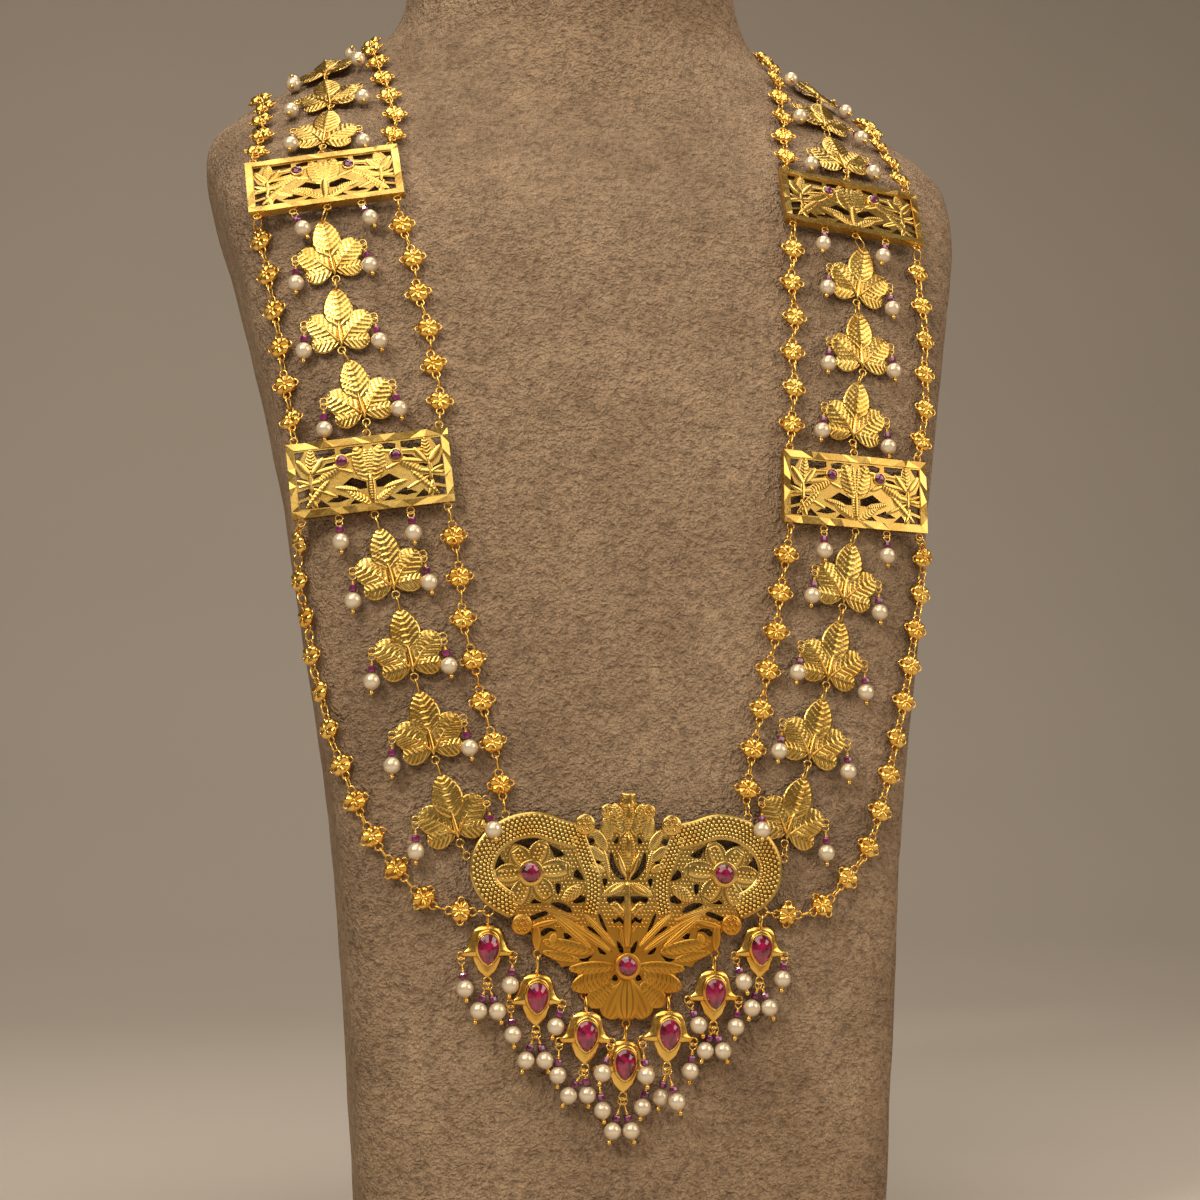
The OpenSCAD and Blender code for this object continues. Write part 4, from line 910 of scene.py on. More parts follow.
def profile_mesh(profile, dome, low, rows=16, columns=12, fold=0.0, curve=2.0):
    """A domed sheet whose half width follows (y, half width) rows, closed at the back."""
    bm = new_bmesh()
    bmesh.ops.create_grid(bm, x_segments=columns, y_segments=rows, size=1)
    bottom, top = profile[0][0], profile[-1][0]
    for v in bm.verts:
        s, u = v.co.x, (v.co.y + 1) / 2
        y = bottom + (top - bottom) * u
        half = max(lookup(y, profile), 0.02)
        rise = dome * (1 - abs(s) ** curve) * min(1.0, 6 * min(u, 1 - u) + 0.25)
        v.co = (s * half, y, rise - fold * s * s * (1 - u))
    smooth_faces(bm)
    skirt(bm, low)
    return as_mesh(bm)


def tube_mesh(points, radius, sides=6):
    """A round wire along a closed line."""
    bm = new_bmesh()
    points = [Vector(p).to_3d() for p in points]
    loops = []
    for before, p, after in zip(points[-1:] + points, points, points[1:] + points[:1]):
        turned = (after - before).normalized().to_track_quat("Z", "Y").to_matrix().to_4x4()
        made = bmesh.ops.create_circle(bm, segments=sides, radius=radius, matrix=shift(*p) @ turned)
        loops.append(edges_round(made["verts"]))
    for a, b in zip(loops, loops[1:] + loops[:1]):
        bmesh.ops.bridge_loops(bm, edges=a + b)
    return as_mesh(bm, smooth=True)


# Rings of a stone's corners: share of its height and of its width
STONE_STEPS = ((0.0, 1.0), (0.22, 1.0), (0.62, 0.8), (0.9, 0.5), (1.0, 0.22))


def stone_mesh(points, height):
    """A faceted stone that rises over an outline, its facets split in turn one way and the other."""
    bm = new_bmesh()
    n = len(points)
    middle = sum((Vector(p) for p in points), Vector((0, 0))) / n
    rings = []
    for up, share in STONE_STEPS:
        corners = [middle + (Vector(p) - middle) * share for p in points]
        rings.append([bm.verts.new((*corner, height * up)) for corner in corners])
    bm.faces.new(rings[0])
    bm.faces.new(rings[-1])
    for k, (low, high) in enumerate(zip(rings, rings[1:])):
        for i in range(n):
            four = [low[i], low[(i + 1) % n], high[(i + 1) % n], high[i]]
            for j in ((0, 1, 2), (0, 2, 3)) if (i + k) % 2 else ((0, 1, 3), (1, 2, 3)):
                bm.faces.new([four[m] for m in j])
    return as_mesh(bm)


def bezel_mesh(points, wall, height):
    """A plain collar round a stone, with a rounded lip."""
    outer = [Vector(p).to_2d() + Vector(p).to_2d().normalized() * wall for p in points]
    return puffed(outer, 0, height - 0.25, [(0.12, 0.16), (0.16, 0.07)])


def circle_points(radius, n):
    return [(radius * cos(2 * pi * i / n), radius * sin(2 * pi * i / n)) for i in range(n)]


PEAR_HALF = (3.6, 4.3)


def pear_points(n=20, grow=1.0):
    """A pear outline, broad above and narrow below."""
    made = []
    for i in range(n):
        a = pi / 2 + 2 * pi * i / n
        full = 0.82 + 0.18 * sin(a) - 0.1 * max(0.0, -sin(a)) ** 3
        made.append((PEAR_HALF[0] * cos(a) * full * grow, PEAR_HALF[1] * sin(a) * grow))
    return made


# Plaque motif, right half: place across and up, turn, length, width and kind
PLAQUE_MOTIF = [
    (0.4, -2.4, -17, 11.6, 6.2, "cut"), (0.2, -0.6, -5, 8.6, 2.6, "fine"),
    (7.8, 4.0, -124, 10.0, 3.6, "fine"), (8.6, 3.2, -100, 8.6, 1.9, "plain"),
    (12.2, -0.6, -136, 11.0, 2.2, "fine"), (12.6, -0.4, -101, 9.6, 1.9, "plain"),
    (7.6, 5.8, 80, 3.8, 1.6, "plain"), (8.6, 5.9, -94, 9.0, 1.2, "plain"),
    (17.6, 1.0, -36, 6.8, 2.4, "plain"), (17.4, 1.0, 36, 6.8, 2.2, "plain"),
    (17.6, 1.0, 4, 8.8, 3.4, "cut"), (17.8, -4.4, 0, 7.0, 1.4, "plain"),
    (17.8, -1.6, -66, 4.6, 1.3, "plain"), (0.4, -9.0, -58, 8.6, 2.6, "cut"),
    (3.6, -5.0, -76, 7.4, 2.2, "fine"), (10.2, -6.2, -64, 8.0, 1.6, "plain"),
    (4.6, 0.6, -68, 5.0, 1.6, "plain"), (16.6, -9.2, -20, 5.6, 1.6, "plain"),
]
MOTIF_LOOKS = {
    "cut": dict(peak=0.45, fullness=0.6, dome=0.2, cuts=8, slant=0.9, depth=0.3, rows=40, columns=10),
    "fine": dict(peak=0.45, fullness=0.55, dome=0.15, cuts=10, slant=0.4, depth=0.16, rows=36, columns=8),
    "plain": dict(peak=0.45, fullness=0.5, dome=0.16, rows=12, columns=6),
}
# Gaps of a plaque's right half, cut right through the web
PLAQUE_GAPS = [
    [(1.2, 8.6), (6, 8.8), (8.4, 8.2), (8, 6.6), (4.6, 6.6), (3.6, 5), (2.4, 7.2)],
    [(9.8, 8.8), (16.2, 8.8), (16.4, 6.4), (12.6, 6.2), (9.8, 7)],
    [(18.8, 8.8), (21.9, 8.8), (21.9, 5.4), (20.4, 6.2)],
    [(8.8, 5), (12.8, 4.4), (15.4, 2), (17.4, 1), (16.8, 0), (13, 1.8), (9.2, 3.4)],
    [(21.9, 4), (21.9, -1.2), (19.2, -1.4), (18.6, 0), (20.6, 1)],
    [(1.4, -2.4), (5.6, -0.6), (8.8, -2.8), (6, -4.6), (1.4, -4.4)],
    [(13.4, -2.4), (17, -2.2), (21.9, -3.4), (21.9, -6), (16.4, -4.2)],
    [(1.8, -8.8), (3.4, -5.8), (7, -8.8)],
    [(6.6, -7), (10, -5.4), (13.6, -7.4), (10, -7.8)],
    [(12.6, -8.8), (15.4, -6.4), (17.2, -8.8)],
    [(18, -8.8), (19, -6), (21.9, -6.8), (21.9, -8.8)]]
WEB_T = 0.9
WEB_BACK = 0.5
BORDER = 2.1
PLAQUE_STONE = (8.1, 4.7)
PLAQUE_STONE_R = 1.7
GARNET_HEIGHT = 0.9
MOTIF_LOW = -0.7
FACET_LENGTH = 4.6
FACET_DROP = 0.3


def cut_bar(bm, m, length, width, seed):
    """One side of a plaque's border, its face cut into slanting facets."""
    one = new_bmesh()
    n = max(5, round(length / FACET_LENGTH))
    bmesh.ops.create_grid(one, x_segments=n, y_segments=1, size=1)
    for v in one.verts:
        k = round((v.co.x + 1) / 2 * n)
        edge = 1 if v.co.y > 0 else 0
        chance = pick(k * 3.7 + 0.5, edge * 9.1 + 0.5, seed * 5.3 + 0.5)
        slide = (chance - 0.5) * length / n * 1.2 if 0 < k < n else 0.0
        drop = -FACET_DROP * chance if k % 2 == edge else 0.0
        v.co = (v.co.x * length / 2 + slide, v.co.y * width / 2, PLAQUE_D + drop)
    bmesh.ops.triangulate(one, faces=one.faces[:])
    # Painted shade on the border's sides and back
    skirt(one, 0, painted_shade=0.35)
    stamp(bm, as_mesh(one), m)


@lru_cache(maxsize=None)
def plaque_mesh(top_ring):
    """A pierced plaque with its border, motif, settings and rings."""
    bm = new_bmesh()
    across, up, short = (PLAQUE_W - BORDER) / 2, (PLAQUE_H - BORDER) / 2, PLAQUE_H - 2 * BORDER + 0.02
    for seed, (x, y, turn, length) in enumerate((
            (0, up, 0, PLAQUE_W), (0, -up, 180, PLAQUE_W), (across, 0, 90, short), (-across, 0, -90, short))):
        cut_bar(bm, move(x, y, 0, turn), length, BORDER, seed)
    front = PLAQUE_D - WEB_BACK
    w, h = PLAQUE_W / 2 - BORDER + 0.2, PLAQUE_H / 2 - BORDER + 0.2
    gaps = [g for gap in PLAQUE_GAPS for g in (gap, flipped(gap))]
    # The web's top carries a light painted shade
    stamp(bm, holed_plate([(-w, -h), (w, -h), (w, h), (-w, h)], gaps, front - WEB_T, front, 0.12), HERE)
    for s in (1, -1):
        for k, (x, y, turn, length, width, kind) in enumerate(PLAQUE_MOTIF):
            part = lobe_mesh(length, width, low=MOTIF_LOW, **MOTIF_LOOKS[kind])
            stamp(bm, part, mirror(s) @ move(x, y, front + 0.04 + 0.03 * (k % 5), turn))
        stamp(bm, bezel_mesh(circle_points(PLAQUE_STONE_R, 20), 0.4, 1.6),
              mirror(s) @ move(*PLAQUE_STONE, front - 0.9))
    stem = lobe_mesh(9.6, 2.2, 0.5, 0.35, 0.35, 12, 0.1, 0.16, low=-0.8, rows=36, columns=6)
    stamp(bm, stem, move(0, -9.4, front + 0.1))
    for x in RINGS_BELOW:
        ring_at(bm, HERE, (x * PLAQUE_W, -PLAQUE_H / 2 - RING_STANDOFF, RING_LEVEL))
    for x in RINGS_ABOVE:
        if top_ring or x:
            ring_at(bm, HERE, (x * PLAQUE_W, PLAQUE_H / 2 + RING_STANDOFF, RING_LEVEL))
    return written(bm)


# Pendant relief, right half: place across and up, turn, length, width, kind and level over the plate
PENDANT_MOTIF = [
    # Finial and its side leaves
    (1.6, 15.2, -20, 8.6, 4.6, "slash", 0.5), (2.0, 19.4, -28, 5.6, 3.0, "slash", 0.7),
    (5.2, 13.6, -14, 7.4, 3.6, "comb", 0.3), (6.2, 10.6, -34, 7.4, 3.2, "comb", 0.35),
    (6.6, 7.6, -52, 7.0, 3.0, "comb", 0.3), (6.8, 4.6, -70, 5.4, 2.6, "comb", 0.25),
    (8.2, 14.6, -62, 6.4, 2.2, "comb", 0.2),
    # Middle lotus
    (5.4, 2.4, -12, 8.6, 1.6, "comb", 0.35), (0.5, 2.7, -20, 8.0, 1.9, "almond", 0.8),
    (0.6, 1.2, -118, 7.6, 2.8, "comb", 0.35), (0.8, 1.2, -122, 6.0, 1.3, "almond", 0.75),
    # Vase forms above the lower stone
    (0.8, -7.4, -60, 5.0, 2.0, "satin", 0.3),
    (2.0, -8.2, -20, 4.0, 1.8, "satin", 0.3),
    # Small leaf between arm and lobe
    (13.2, 0.4, -125, 7.6, 3.9, "slash", 0.5),
    # Fan of long leaves
    (1.0, -17.4, -12, 6.0, 1.6, "line", 0.3), (3.2, -17.4, -45, 14.6, 2.0, "line", 0.3),
    (4.6, -18.6, -57, 19.0, 2.4, "line", 0.3), (14.0, -9.6, -72, 13.0, 1.6, "line", 0.3),
    # Bird: back, wing, breast, neck and head
    (10.4, -17.8, -50, 15.0, 2.4, "line", 0.35), (9.8, -18.6, -79, 15.4, 4.0, "wing", 0.35),
    (14.2, -21.1, -77, 10.8, 2.8, "wing", 0.2),
    (26.5, -18.4, -3, 8.0, 2.6, "satin", 0.3), (28.6, -11.6, 76, 8.4, 1.7, "satin", 0.35),
    (22.6, -16.4, 24, 3.4, 2.4, "comb", 0.5), (12.6, -12.4, -64, 12.0, 1.6, "line", 0.3),
    # Leaves that spread from the lower stone, and the shell below it
    (3.2, -22.8, -93, 14.0, 3.8, "wing", 0.3), (4.8, -25.2, -108, 12.0, 6.4, "wing", 0.25),
    (4.2, -27.8, -133, 9.4, 7.0, "wing", 0.2), (1.5, -27.6, -157, 11.0, 7.4, "shell", 0.2),
]
RELIEF_LOOKS = {
    "slash": dict(peak=0.5, fullness=0.6, dome=0.45, cuts=6, slant=1.1, depth=0.42, rows=40, columns=10),
    "comb": dict(peak=0.5, fullness=0.6, dome=0.3, cuts=14, slant=0.15, depth=0.22, rows=42, columns=8),
    "almond": dict(peak=0.45, fullness=0.8, dome=0.55, rows=14, columns=4),
    "satin": dict(peak=0.5, fullness=0.55, dome=0.25, rows=14, columns=6),
    "line": dict(peak=0.5, fullness=0.5, dome=0.22, cuts=3, rib="fan", depth=0.22, rows=16, columns=18,
                 duty=0.4),
    "wing": dict(peak=0.5, fullness=0.5, dome=0.22, cuts=9, slant=1.3, depth=0.16, rows=36, columns=8,
                 duty=0.35),
    "shell": dict(peak=0.62, fullness=0.45, dome=0.25, cuts=4, rib="fan", depth=0.16, rows=16, columns=20,
                  duty=0.3),
}
# Grained bands: middle line, half width, rows of grains, pitch, grain radius and height
BANDS = ((LOBE_LINE, 3.7, 6, 1.3, 0.6, 0.5), (ARM_LINE, 2.3, 4, 1.15, 0.52, 0.4))
DISC_R = 3.0
RELIEF_LOW = -0.9
RUBY_R = 2.85
RUBY_WALL = 0.95
RUBY_COLLAR = 1.75
RUBY_HEIGHT = 1.5
RUBY_LEVEL = 1.45


def lobed_disc(bm, m):
    """A small seven-grain flower disc."""
    stamp(bm, puffed(circle_points(DISC_R, 28), -0.6, 0.5, [(0.3, 0.2)]), m)
    for k in range(7):
        r = 0 if k == 6 else 1.75
        p = m @ shift(r * cos(k * pi / 3), r * sin(k * pi / 3), 0.78)
        stamp(bm, torus_mesh(0.62, 0.18, 10, 5), p)
        stamp(bm, granule_mesh(0.45), p)


@lru_cache(maxsize=None)
def pendant_half_mesh():
    """The raised work on the pendant's right half."""
    bm = new_bmesh()
    for line, half, rows, pitch, radius, top in BANDS:
        stamp(bm, band_mesh(line, half, 40, -0.4, top, 0.2), HERE)
        band_grains(bm, line, half, rows, pitch, radius, top)
    for k in range(6):
        length = PETAL_LENGTHS[k] - 0.4
        turn = -6 + 60 * k + 90
        petal = lobe_mesh(length, 6.6, 0.6, 0.62, 0.32, 16, rib="rim", depth=0.2, low=-0.3, rows=46,
                          columns=12)
        m = move(*RUBY_SIDE, 0.55, turn)
        stamp(bm, petal, m)
        for i in range(4):
            for j in range(-1, 2):
                y = 4.4 + i * 1.25 + (0.5 if j == 0 else 0)
                if y < length - 1.8 and abs(j) * 1.05 < 2.2 * sin(pi * (y / length) ** 1.35):
                    stamp(bm, granule_mesh(0.46), m @ shift(j * 1.05, y, 0.22))
    for x, y in DISCS:
        lobed_disc(bm, move(x, y, 0.35))
    lobed_disc(bm, move(6.0, 22.0, 0.0, 10, 0.72))
    for x, y, turn, length, width, kind, level in PENDANT_MOTIF:
        part = lobe_mesh(length, width, low=RELIEF_LOW, **RELIEF_LOOKS[kind])
        stamp(bm, part, move(x, y, level, turn))
    stipple(bm)
    return written(bm)


STIPPLE_PITCH = 1.15


def inside(x, y, loop):
    """Whether a point lies within a closed outline."""
    odd = False
    for p, q in zip(loop, loop[1:] + loop[:1]):
        if (p[1] > y) != (q[1] > y) and x < p[0] + (q[0] - p[0]) * (y - p[1]) / (q[1] - p[1]):
            odd = not odd
    return odd


def stipple(bm):
    """Small grains over the upper plate wherever it is bare."""
    grain = granule_mesh(0.4)
    rim = [(p[0], p[1]) for p in mirrored(PENDANT_HALF)]
    for row in range(-10, 24):
        for column in range(40):
            x = (column + 0.5 * (row % 2) + 0.4) * STIPPLE_PITCH
            y = row * STIPPLE_PITCH
            around = [(x + 0.5, y), (x, y + 0.5), (x - 0.5, y), (x, y - 0.5)]
            if all(inside(*p, rim) and not any(inside(*p, g) for g in PENDANT_GAPS) for p in around):
                stamp(bm, grain, shift(x, y, 0))


def pendant_mesh():
    """The whole pendant in its own frame."""
    bm = new_bmesh()
    gaps = [outline(g, 2) for gap in PENDANT_GAPS for g in (gap, flipped(gap))]
    # The plate's top carries a light painted shade
    stamp(bm, holed_plate(outline(mirrored(PENDANT_HALF), 3), gaps, 0, PLATE_T, 0.2), HERE)
    level = shift(0, 0, PLATE_T)
    setting = bezel_mesh(circle_points(RUBY_R, 28), RUBY_WALL, RUBY_COLLAR)
    for s in (1, -1):
        stamp(bm, pendant_half_mesh(), level @ mirror(s))
        for ring in (INNER_RING, LEAF_RING):
            ring_at(bm, HERE, (s * ring[0], ring[1], RING_Z))
        stamp(bm, setting, level @ move(s * RUBY_SIDE[0], RUBY_SIDE[1]))
    comb, almond = RELIEF_LOOKS["comb"], RELIEF_LOOKS["almond"]
    for part, place in (
            (lobe_mesh(9.6, 3.4, low=RELIEF_LOW, **comb), move(0, 16.4, 0.6)),
            (lobe_mesh(6.4, 1.8, low=-0.6, **almond), move(0, 18.2, 1.1)),
            (lobe_mesh(11.6, 4.4, low=RELIEF_LOW, **comb), move(0, 4.6, 0.5)),
            (lobe_mesh(7.4, 2.0, low=-0.6, **almond), move(0, 8.2, 1.0)),
            (lobe_mesh(19.4, 2.3, 0.5, 0.3, 0.4, low=RELIEF_LOW, rows=14, columns=6), move(0, -17.6, 0.35)),
            (lobe_mesh(12.6, 8.6, 0.6, 0.45, 0.3, 5, rib="fan", depth=0.1, low=RELIEF_LOW, rows=16,
                       columns=24, duty=0.3), move(0, -25.4, 0.3, 180)),
            (profile_mesh([(23.4, 2.2), (25.6, 1.5), (27.3, 2.3)], 0.7, RELIEF_LOW), move(z=0.5))):
        stamp(bm, part, level @ place)
    stamp(bm, setting, level @ move(*RUBY_LOW))
    for i, (x, y) in enumerate(DROP_RINGS):
        big = i in END_DROPS
        ring_at(bm, HERE, (x, y, RING_Z), BIG_HOLE_R if big else HOLE_R, BIG_RING_R if big else RING_R)
    return written(bm)


STONE_AT = (0.0, -6.8)
PEAR_HEIGHT = 1.6
PEAR_LEVEL = 2.25
PEAR_WIRE_R = 0.26
HOOK_Y = -0.4
BELL_LOW = -0.45
# Heights and half widths of a drop's bell and foot
BELL = [(-9.0, 5.4), (-8.6, 7.1), (-8.0, 7.7), (-7.3, 7.0), (-6.6, 6.1), (-4.6, 5.2), (-2.4, 4.7),
        (-1.2, 4.0), (-0.5, 3.0), (0.0, 1.8)]
FOOT_LOBE = [(-15.0, 0.1), (-14.2, 1.2), (-12.4, 2.9), (-9.6, 4.0), (-7.6, 4.1), (-5.0, 1.4)]


@lru_cache(maxsize=None)
def drop_mesh():
    """A drop's bell plate, foot lobe, setting and rings."""
    bm = new_bmesh()
    stamp(bm, profile_mesh(FOOT_LOBE, 0.55, BELL_LOW), move(z=0.1))
    stamp(bm, profile_mesh(BELL, 0.9, BELL_LOW, 22, 18, fold=0.2, curve=3.0), move(z=0.25))
    wall = []
    for p in pear_points(32):
        thick = 0.75 + 0.75 * max(0.0, p[1] / 4.5) ** 1.5
        wall.append(Vector(p) + Vector(p).normalized() * thick)
    stamp(bm, puffed(wall, 0, 2.1, [(0.22, 0.28), (0.3, 0.16)]), move(*STONE_AT))
    stamp(bm, tube_mesh(pear_points(32, 1.06), PEAR_WIRE_R), move(*STONE_AT, 2.5))
    for s in (-1, 1):
        ring_at(bm, HERE, (s * DROP_EDGE_RING[0], DROP_EDGE_RING[1], 0))
    ring_at(bm, HERE, (*DROP_FOOT_RING, 0))
    return written(bm)


# Materials. Golds: bright colour, painted shade colour, tinted colour, roughness of high and hollow places
GOLDS = {
    "gold_polished": ((0.95, 0.61, 0.15), (0.26, 0.1, 0.012), (0.86, 0.47, 0.08), 0.2, 0.42),
    # The plaques' and leaves' gold below is a painted shaded copy of the polished gold, darker in its bright
    # and its shade colour
    "gold_cut_shaded": ((0.84, 0.56, 0.15), (0.085, 0.034, 0.005), (0.72, 0.42, 0.09), 0.22, 0.42),
    "gold_relief": ((0.88, 0.62, 0.19), (0.1, 0.04, 0.006), (0.78, 0.48, 0.11), 0.2, 0.46),
}
# Painted reflection: the warm orange colours of the pendant's lower half, bright and tinted
WARM_REFLECTION_BRIGHT = (0.76, 0.39, 0.055)
WARM_REFLECTION_TINT = (0.68, 0.31, 0.04)
SATIN_SMOOTH = 0.36
# Heights in metres between which the pendant's gold turns from bright to satin and to a painted warm orange
# reflection
SATIN_REFLECTION_FROM, SATIN_REFLECTION_TO = 0.116, 0.107
GOLD_BUMP = 0.05
GOLD_BUMP_DEPTH = 0.0002
# Stones: dark colour and light colour of the painted facet reflections, roughness
STONES = {
    "garnet": ((0.035, 0.003, 0.016), (0.26, 0.012, 0.11), 0.06),
    "bead_red_violet": ((0.07, 0.004, 0.035), (0.3, 0.02, 0.16), 0.12),
    "ruby_red": ((0.045, 0.0, 0.008), (0.42, 0.004, 0.07), 0.06),
}
STONE_IOR = 1.76
COLOR, FLOAT, VECTOR = "NodeSocketColor", "NodeSocketFloat", "NodeSocketVector"


def group_tree(name, inputs, outputs):
    tree = bpy.data.node_groups.new(name, "ShaderNodeTree")
    for label, kind, value in inputs:
        socket = tree.interface.new_socket(label, in_out="INPUT", socket_type=kind)
        socket.default_value = value
    for label, kind in outputs:
        tree.interface.new_socket(label, in_out="OUTPUT", socket_type=kind)
    return tree, tree.nodes.new("NodeGroupInput"), tree.nodes.new("NodeGroupOutput")


def fill(tree, node, sockets):
    """Fills a node's sockets, each by a link or a value."""
    for key, value in sockets.items():
        if isinstance(value, bpy.types.NodeSocket):
            tree.links.new(value, node.inputs[key])
        else:
            node.inputs[key].default_value = value
    return node


def put(tree, kind, sockets=None, **settings_and_sockets):
    """A node with its settings and sockets filled."""
    node = tree.nodes.new(kind)
    sockets = dict(sockets or {})
    for key, value in settings_and_sockets.items():
        if hasattr(node, key):
            setattr(node, key, value)
        else:
            sockets[key.replace("_", " ")] = value
    return fill(tree, node, sockets)


def noisy(tree, coordinates, scale, detail, rough=0.5):
    return put(tree, "ShaderNodeTexNoise", Vector=coordinates, Scale=scale, Detail=detail,
               Roughness=rough).outputs["Fac"]


def ranged(tree, value, low, high, to_low=0.0, to_high=1.0):
    return put(tree, "ShaderNodeMapRange", Value=value, From_Min=low, From_Max=high, To_Min=to_low,
               To_Max=to_high).outputs["Result"]


def sum_of(tree, first, second):
    return put(tree, "ShaderNodeMath", {0: first, 1: second}, operation="ADD").outputs["Value"]


def mixed(tree, factor, first, second, kind="MIX"):
    return put(tree, "ShaderNodeMix", {0: factor, 6: first, 7: second}, data_type="RGBA",
               blend_type=kind).outputs[2]


def ramped(tree, factor, *stops):
    """A colour ramp between two stops of position and colour."""
    node = put(tree, "ShaderNodeValToRGB", Fac=factor)
    for element, (position, colour) in zip(node.color_ramp.elements, stops):
        element.position, element.color = position, (*colour, 1)
    return node.outputs["Color"]


def bumped(tree, height, strength, distance):
    return put(tree, "ShaderNodeBump", Height=height, Strength=strength,
               Distance=distance).outputs["Normal"]


def shaded_worn_metal_group():
    """Gold with painted shade: where the painted shade amount is high its colour turns to a dark shade colour
    and it is rougher, with a slow change of tint.
    """
    found = bpy.data.node_groups.get("shaded_worn_metal")
    if found:
        return found
    tree, given, out = group_tree("shaded_worn_metal", [
        ("Coordinates", VECTOR, (0, 0, 0)), ("Painted Shade", FLOAT, 0.0), ("Bright", COLOR, (1, 1, 1, 1)),
        ("Shade Colour", COLOR, (0, 0, 0, 1)), ("Tint", COLOR, (0, 0, 0, 1)), ("Fine Scale", FLOAT, 900.0),
        ("Smooth", FLOAT, 0.2), ("Rough", FLOAT, 0.45)],
        [("Color", COLOR), ("Roughness", FLOAT), ("Height", FLOAT)])
    given = given.outputs
    slow = noisy(tree, given["Coordinates"], 120.0, 2.0)
    fine = noisy(tree, given["Coordinates"], given["Fine Scale"], 3.0)
    tinted = mixed(tree, ranged(tree, slow, 0.42, 0.68), given["Bright"], given["Tint"])
    wear = sum_of(tree, given["Painted Shade"], fine)
    fill(tree, out, {
        # Painted shade: the colour turns to the shade colour by the painted shade amount
        "Color": mixed(tree, given["Painted Shade"], tinted, given["Shade Colour"]),
        "Roughness": ranged(tree, wear, 0.35, 1.4, given["Smooth"], given["Rough"]),
        "Height": fine})
    return tree


def new_material(name):
    """The material of a name, with its tree, shader and coordinates only when it is new."""
    found = bpy.data.materials.get(name)
    if found:
        return found, None, None, None
    material = bpy.data.materials.new(name)
    material.use_nodes = True
    tree = material.node_tree
    return material, tree, tree.nodes["Principled BSDF"], put(tree, "ShaderNodeTexCoord").outputs


def gold_material(name):
    material, tree, shader, coords = new_material(name)
    if tree is None:
        return material
    bright, shade_colour, tint, smooth, rough = GOLDS[name]
    # Painted shade: the mesh's painted shade amount darkens hollows, sides and backs
    shade_mask = put(tree, "ShaderNodeAttribute", attribute_name=PAINTED_SHADE)
    shaded_worn = put(tree, "ShaderNodeGroup", node_tree=shaded_worn_metal_group())
    fill(tree, shaded_worn, {
        "Coordinates": coords["Object"], "Painted Shade": shade_mask.outputs["Fac"], "Bright": (*bright, 1),
        "Shade Colour": (*shade_colour, 1), "Tint": (*tint, 1), "Smooth": smooth, "Rough": rough})
    fill(tree, shader, {
        "Base Color": shaded_worn.outputs["Color"], "Roughness": shaded_worn.outputs["Roughness"], "Metallic": 1.0,
        "Normal": bumped(tree, shaded_worn.outputs["Height"], GOLD_BUMP, GOLD_BUMP_DEPTH)})
    return material


def gold_relief():
    """The pendant's gold: a painted pale bright reflection above, and a painted warm orange reflection below,
    where it is also satin.
    """
    material = gold_material("gold_relief")
    tree = material.node_tree
    if tree.nodes.get("SatinReflection"):
        return material
    bright, _, tint, smooth, _ = GOLDS["gold_relief"]
    shaded_worn = next(n for n in tree.nodes if n.type == "GROUP")
    coords = next(n for n in tree.nodes if n.type == "TEX_COORD")
    split = put(tree, "ShaderNodeSeparateXYZ", Vector=coords.outputs["Object"])
    split.name = "SatinReflection"
    satin = ranged(tree, split.outputs["Z"], SATIN_REFLECTION_FROM, SATIN_REFLECTION_TO)
    fill(tree, shaded_worn, {
        # Painted reflection: the colours turn from the pale gold above to warm orange below; the roughness
        # turns satin
        "Bright": mixed(tree, satin, (*bright, 1), (*WARM_REFLECTION_BRIGHT, 1)),
        "Tint": mixed(tree, satin, (*tint, 1), (*WARM_REFLECTION_TINT, 1)),
        "Smooth": ranged(tree, satin, 0.0, 1.0, smooth, SATIN_SMOOTH)})
    return material


def stone_material(name):
    """A clear-coloured stone with painted inner reflections: its facets are painted different depths of
    colour by the way they face.
    """
    material, tree, shader, coords = new_material(name)
    if tree is None:
        return material
    dark, light, rough = STONES[name]
    # Painted reflections: noise over each facet's facing and over the stone picks its depth of colour
    both = sum_of(tree, noisy(tree, coords["Normal"], 3.4, 2.0), noisy(tree, coords["Object"], 420.0, 1.0))
    half = put(tree, "ShaderNodeMath", {0: both, 1: 0.5}, operation="MULTIPLY").outputs["Value"]
    fill(tree, shader, {
        "Base Color": ramped(tree, half, (0.38, dark), (0.66, light)),
        "Roughness": rough, "IOR": STONE_IOR, "Coat Weight": 0.6, "Coat Roughness": 0.04})
    return material


def pearl_material():
    """Cream pearl with a painted shade that turns it browner towards its edge, under a smooth coat."""
    material, tree, shader, coords = new_material("pearl_lustre")
    if tree is None:
        return material
    cloud = noisy(tree, coords["Object"], 260.0, 3.0)
    # Painted shade: the colour darkens to brown where the surface turns away from the view
    edge = put(tree, "ShaderNodeLayerWeight", Blend=0.35)
    body = ramped(tree, edge.outputs["Facing"], (0.0, (0.84, 0.73, 0.54)), (1.0, (0.36, 0.22, 0.09)))
    fill(tree, shader, {
        "Base Color": mixed(tree, cloud, body, (1.0, 0.93, 0.85, 1), "MULTIPLY"),
        "Roughness": ranged(tree, cloud, 0.0, 1.0, 0.16, 0.3),
        "Coat Weight": 1.0, "Coat Roughness": 0.06, "Metallic": 0.3})
    return material


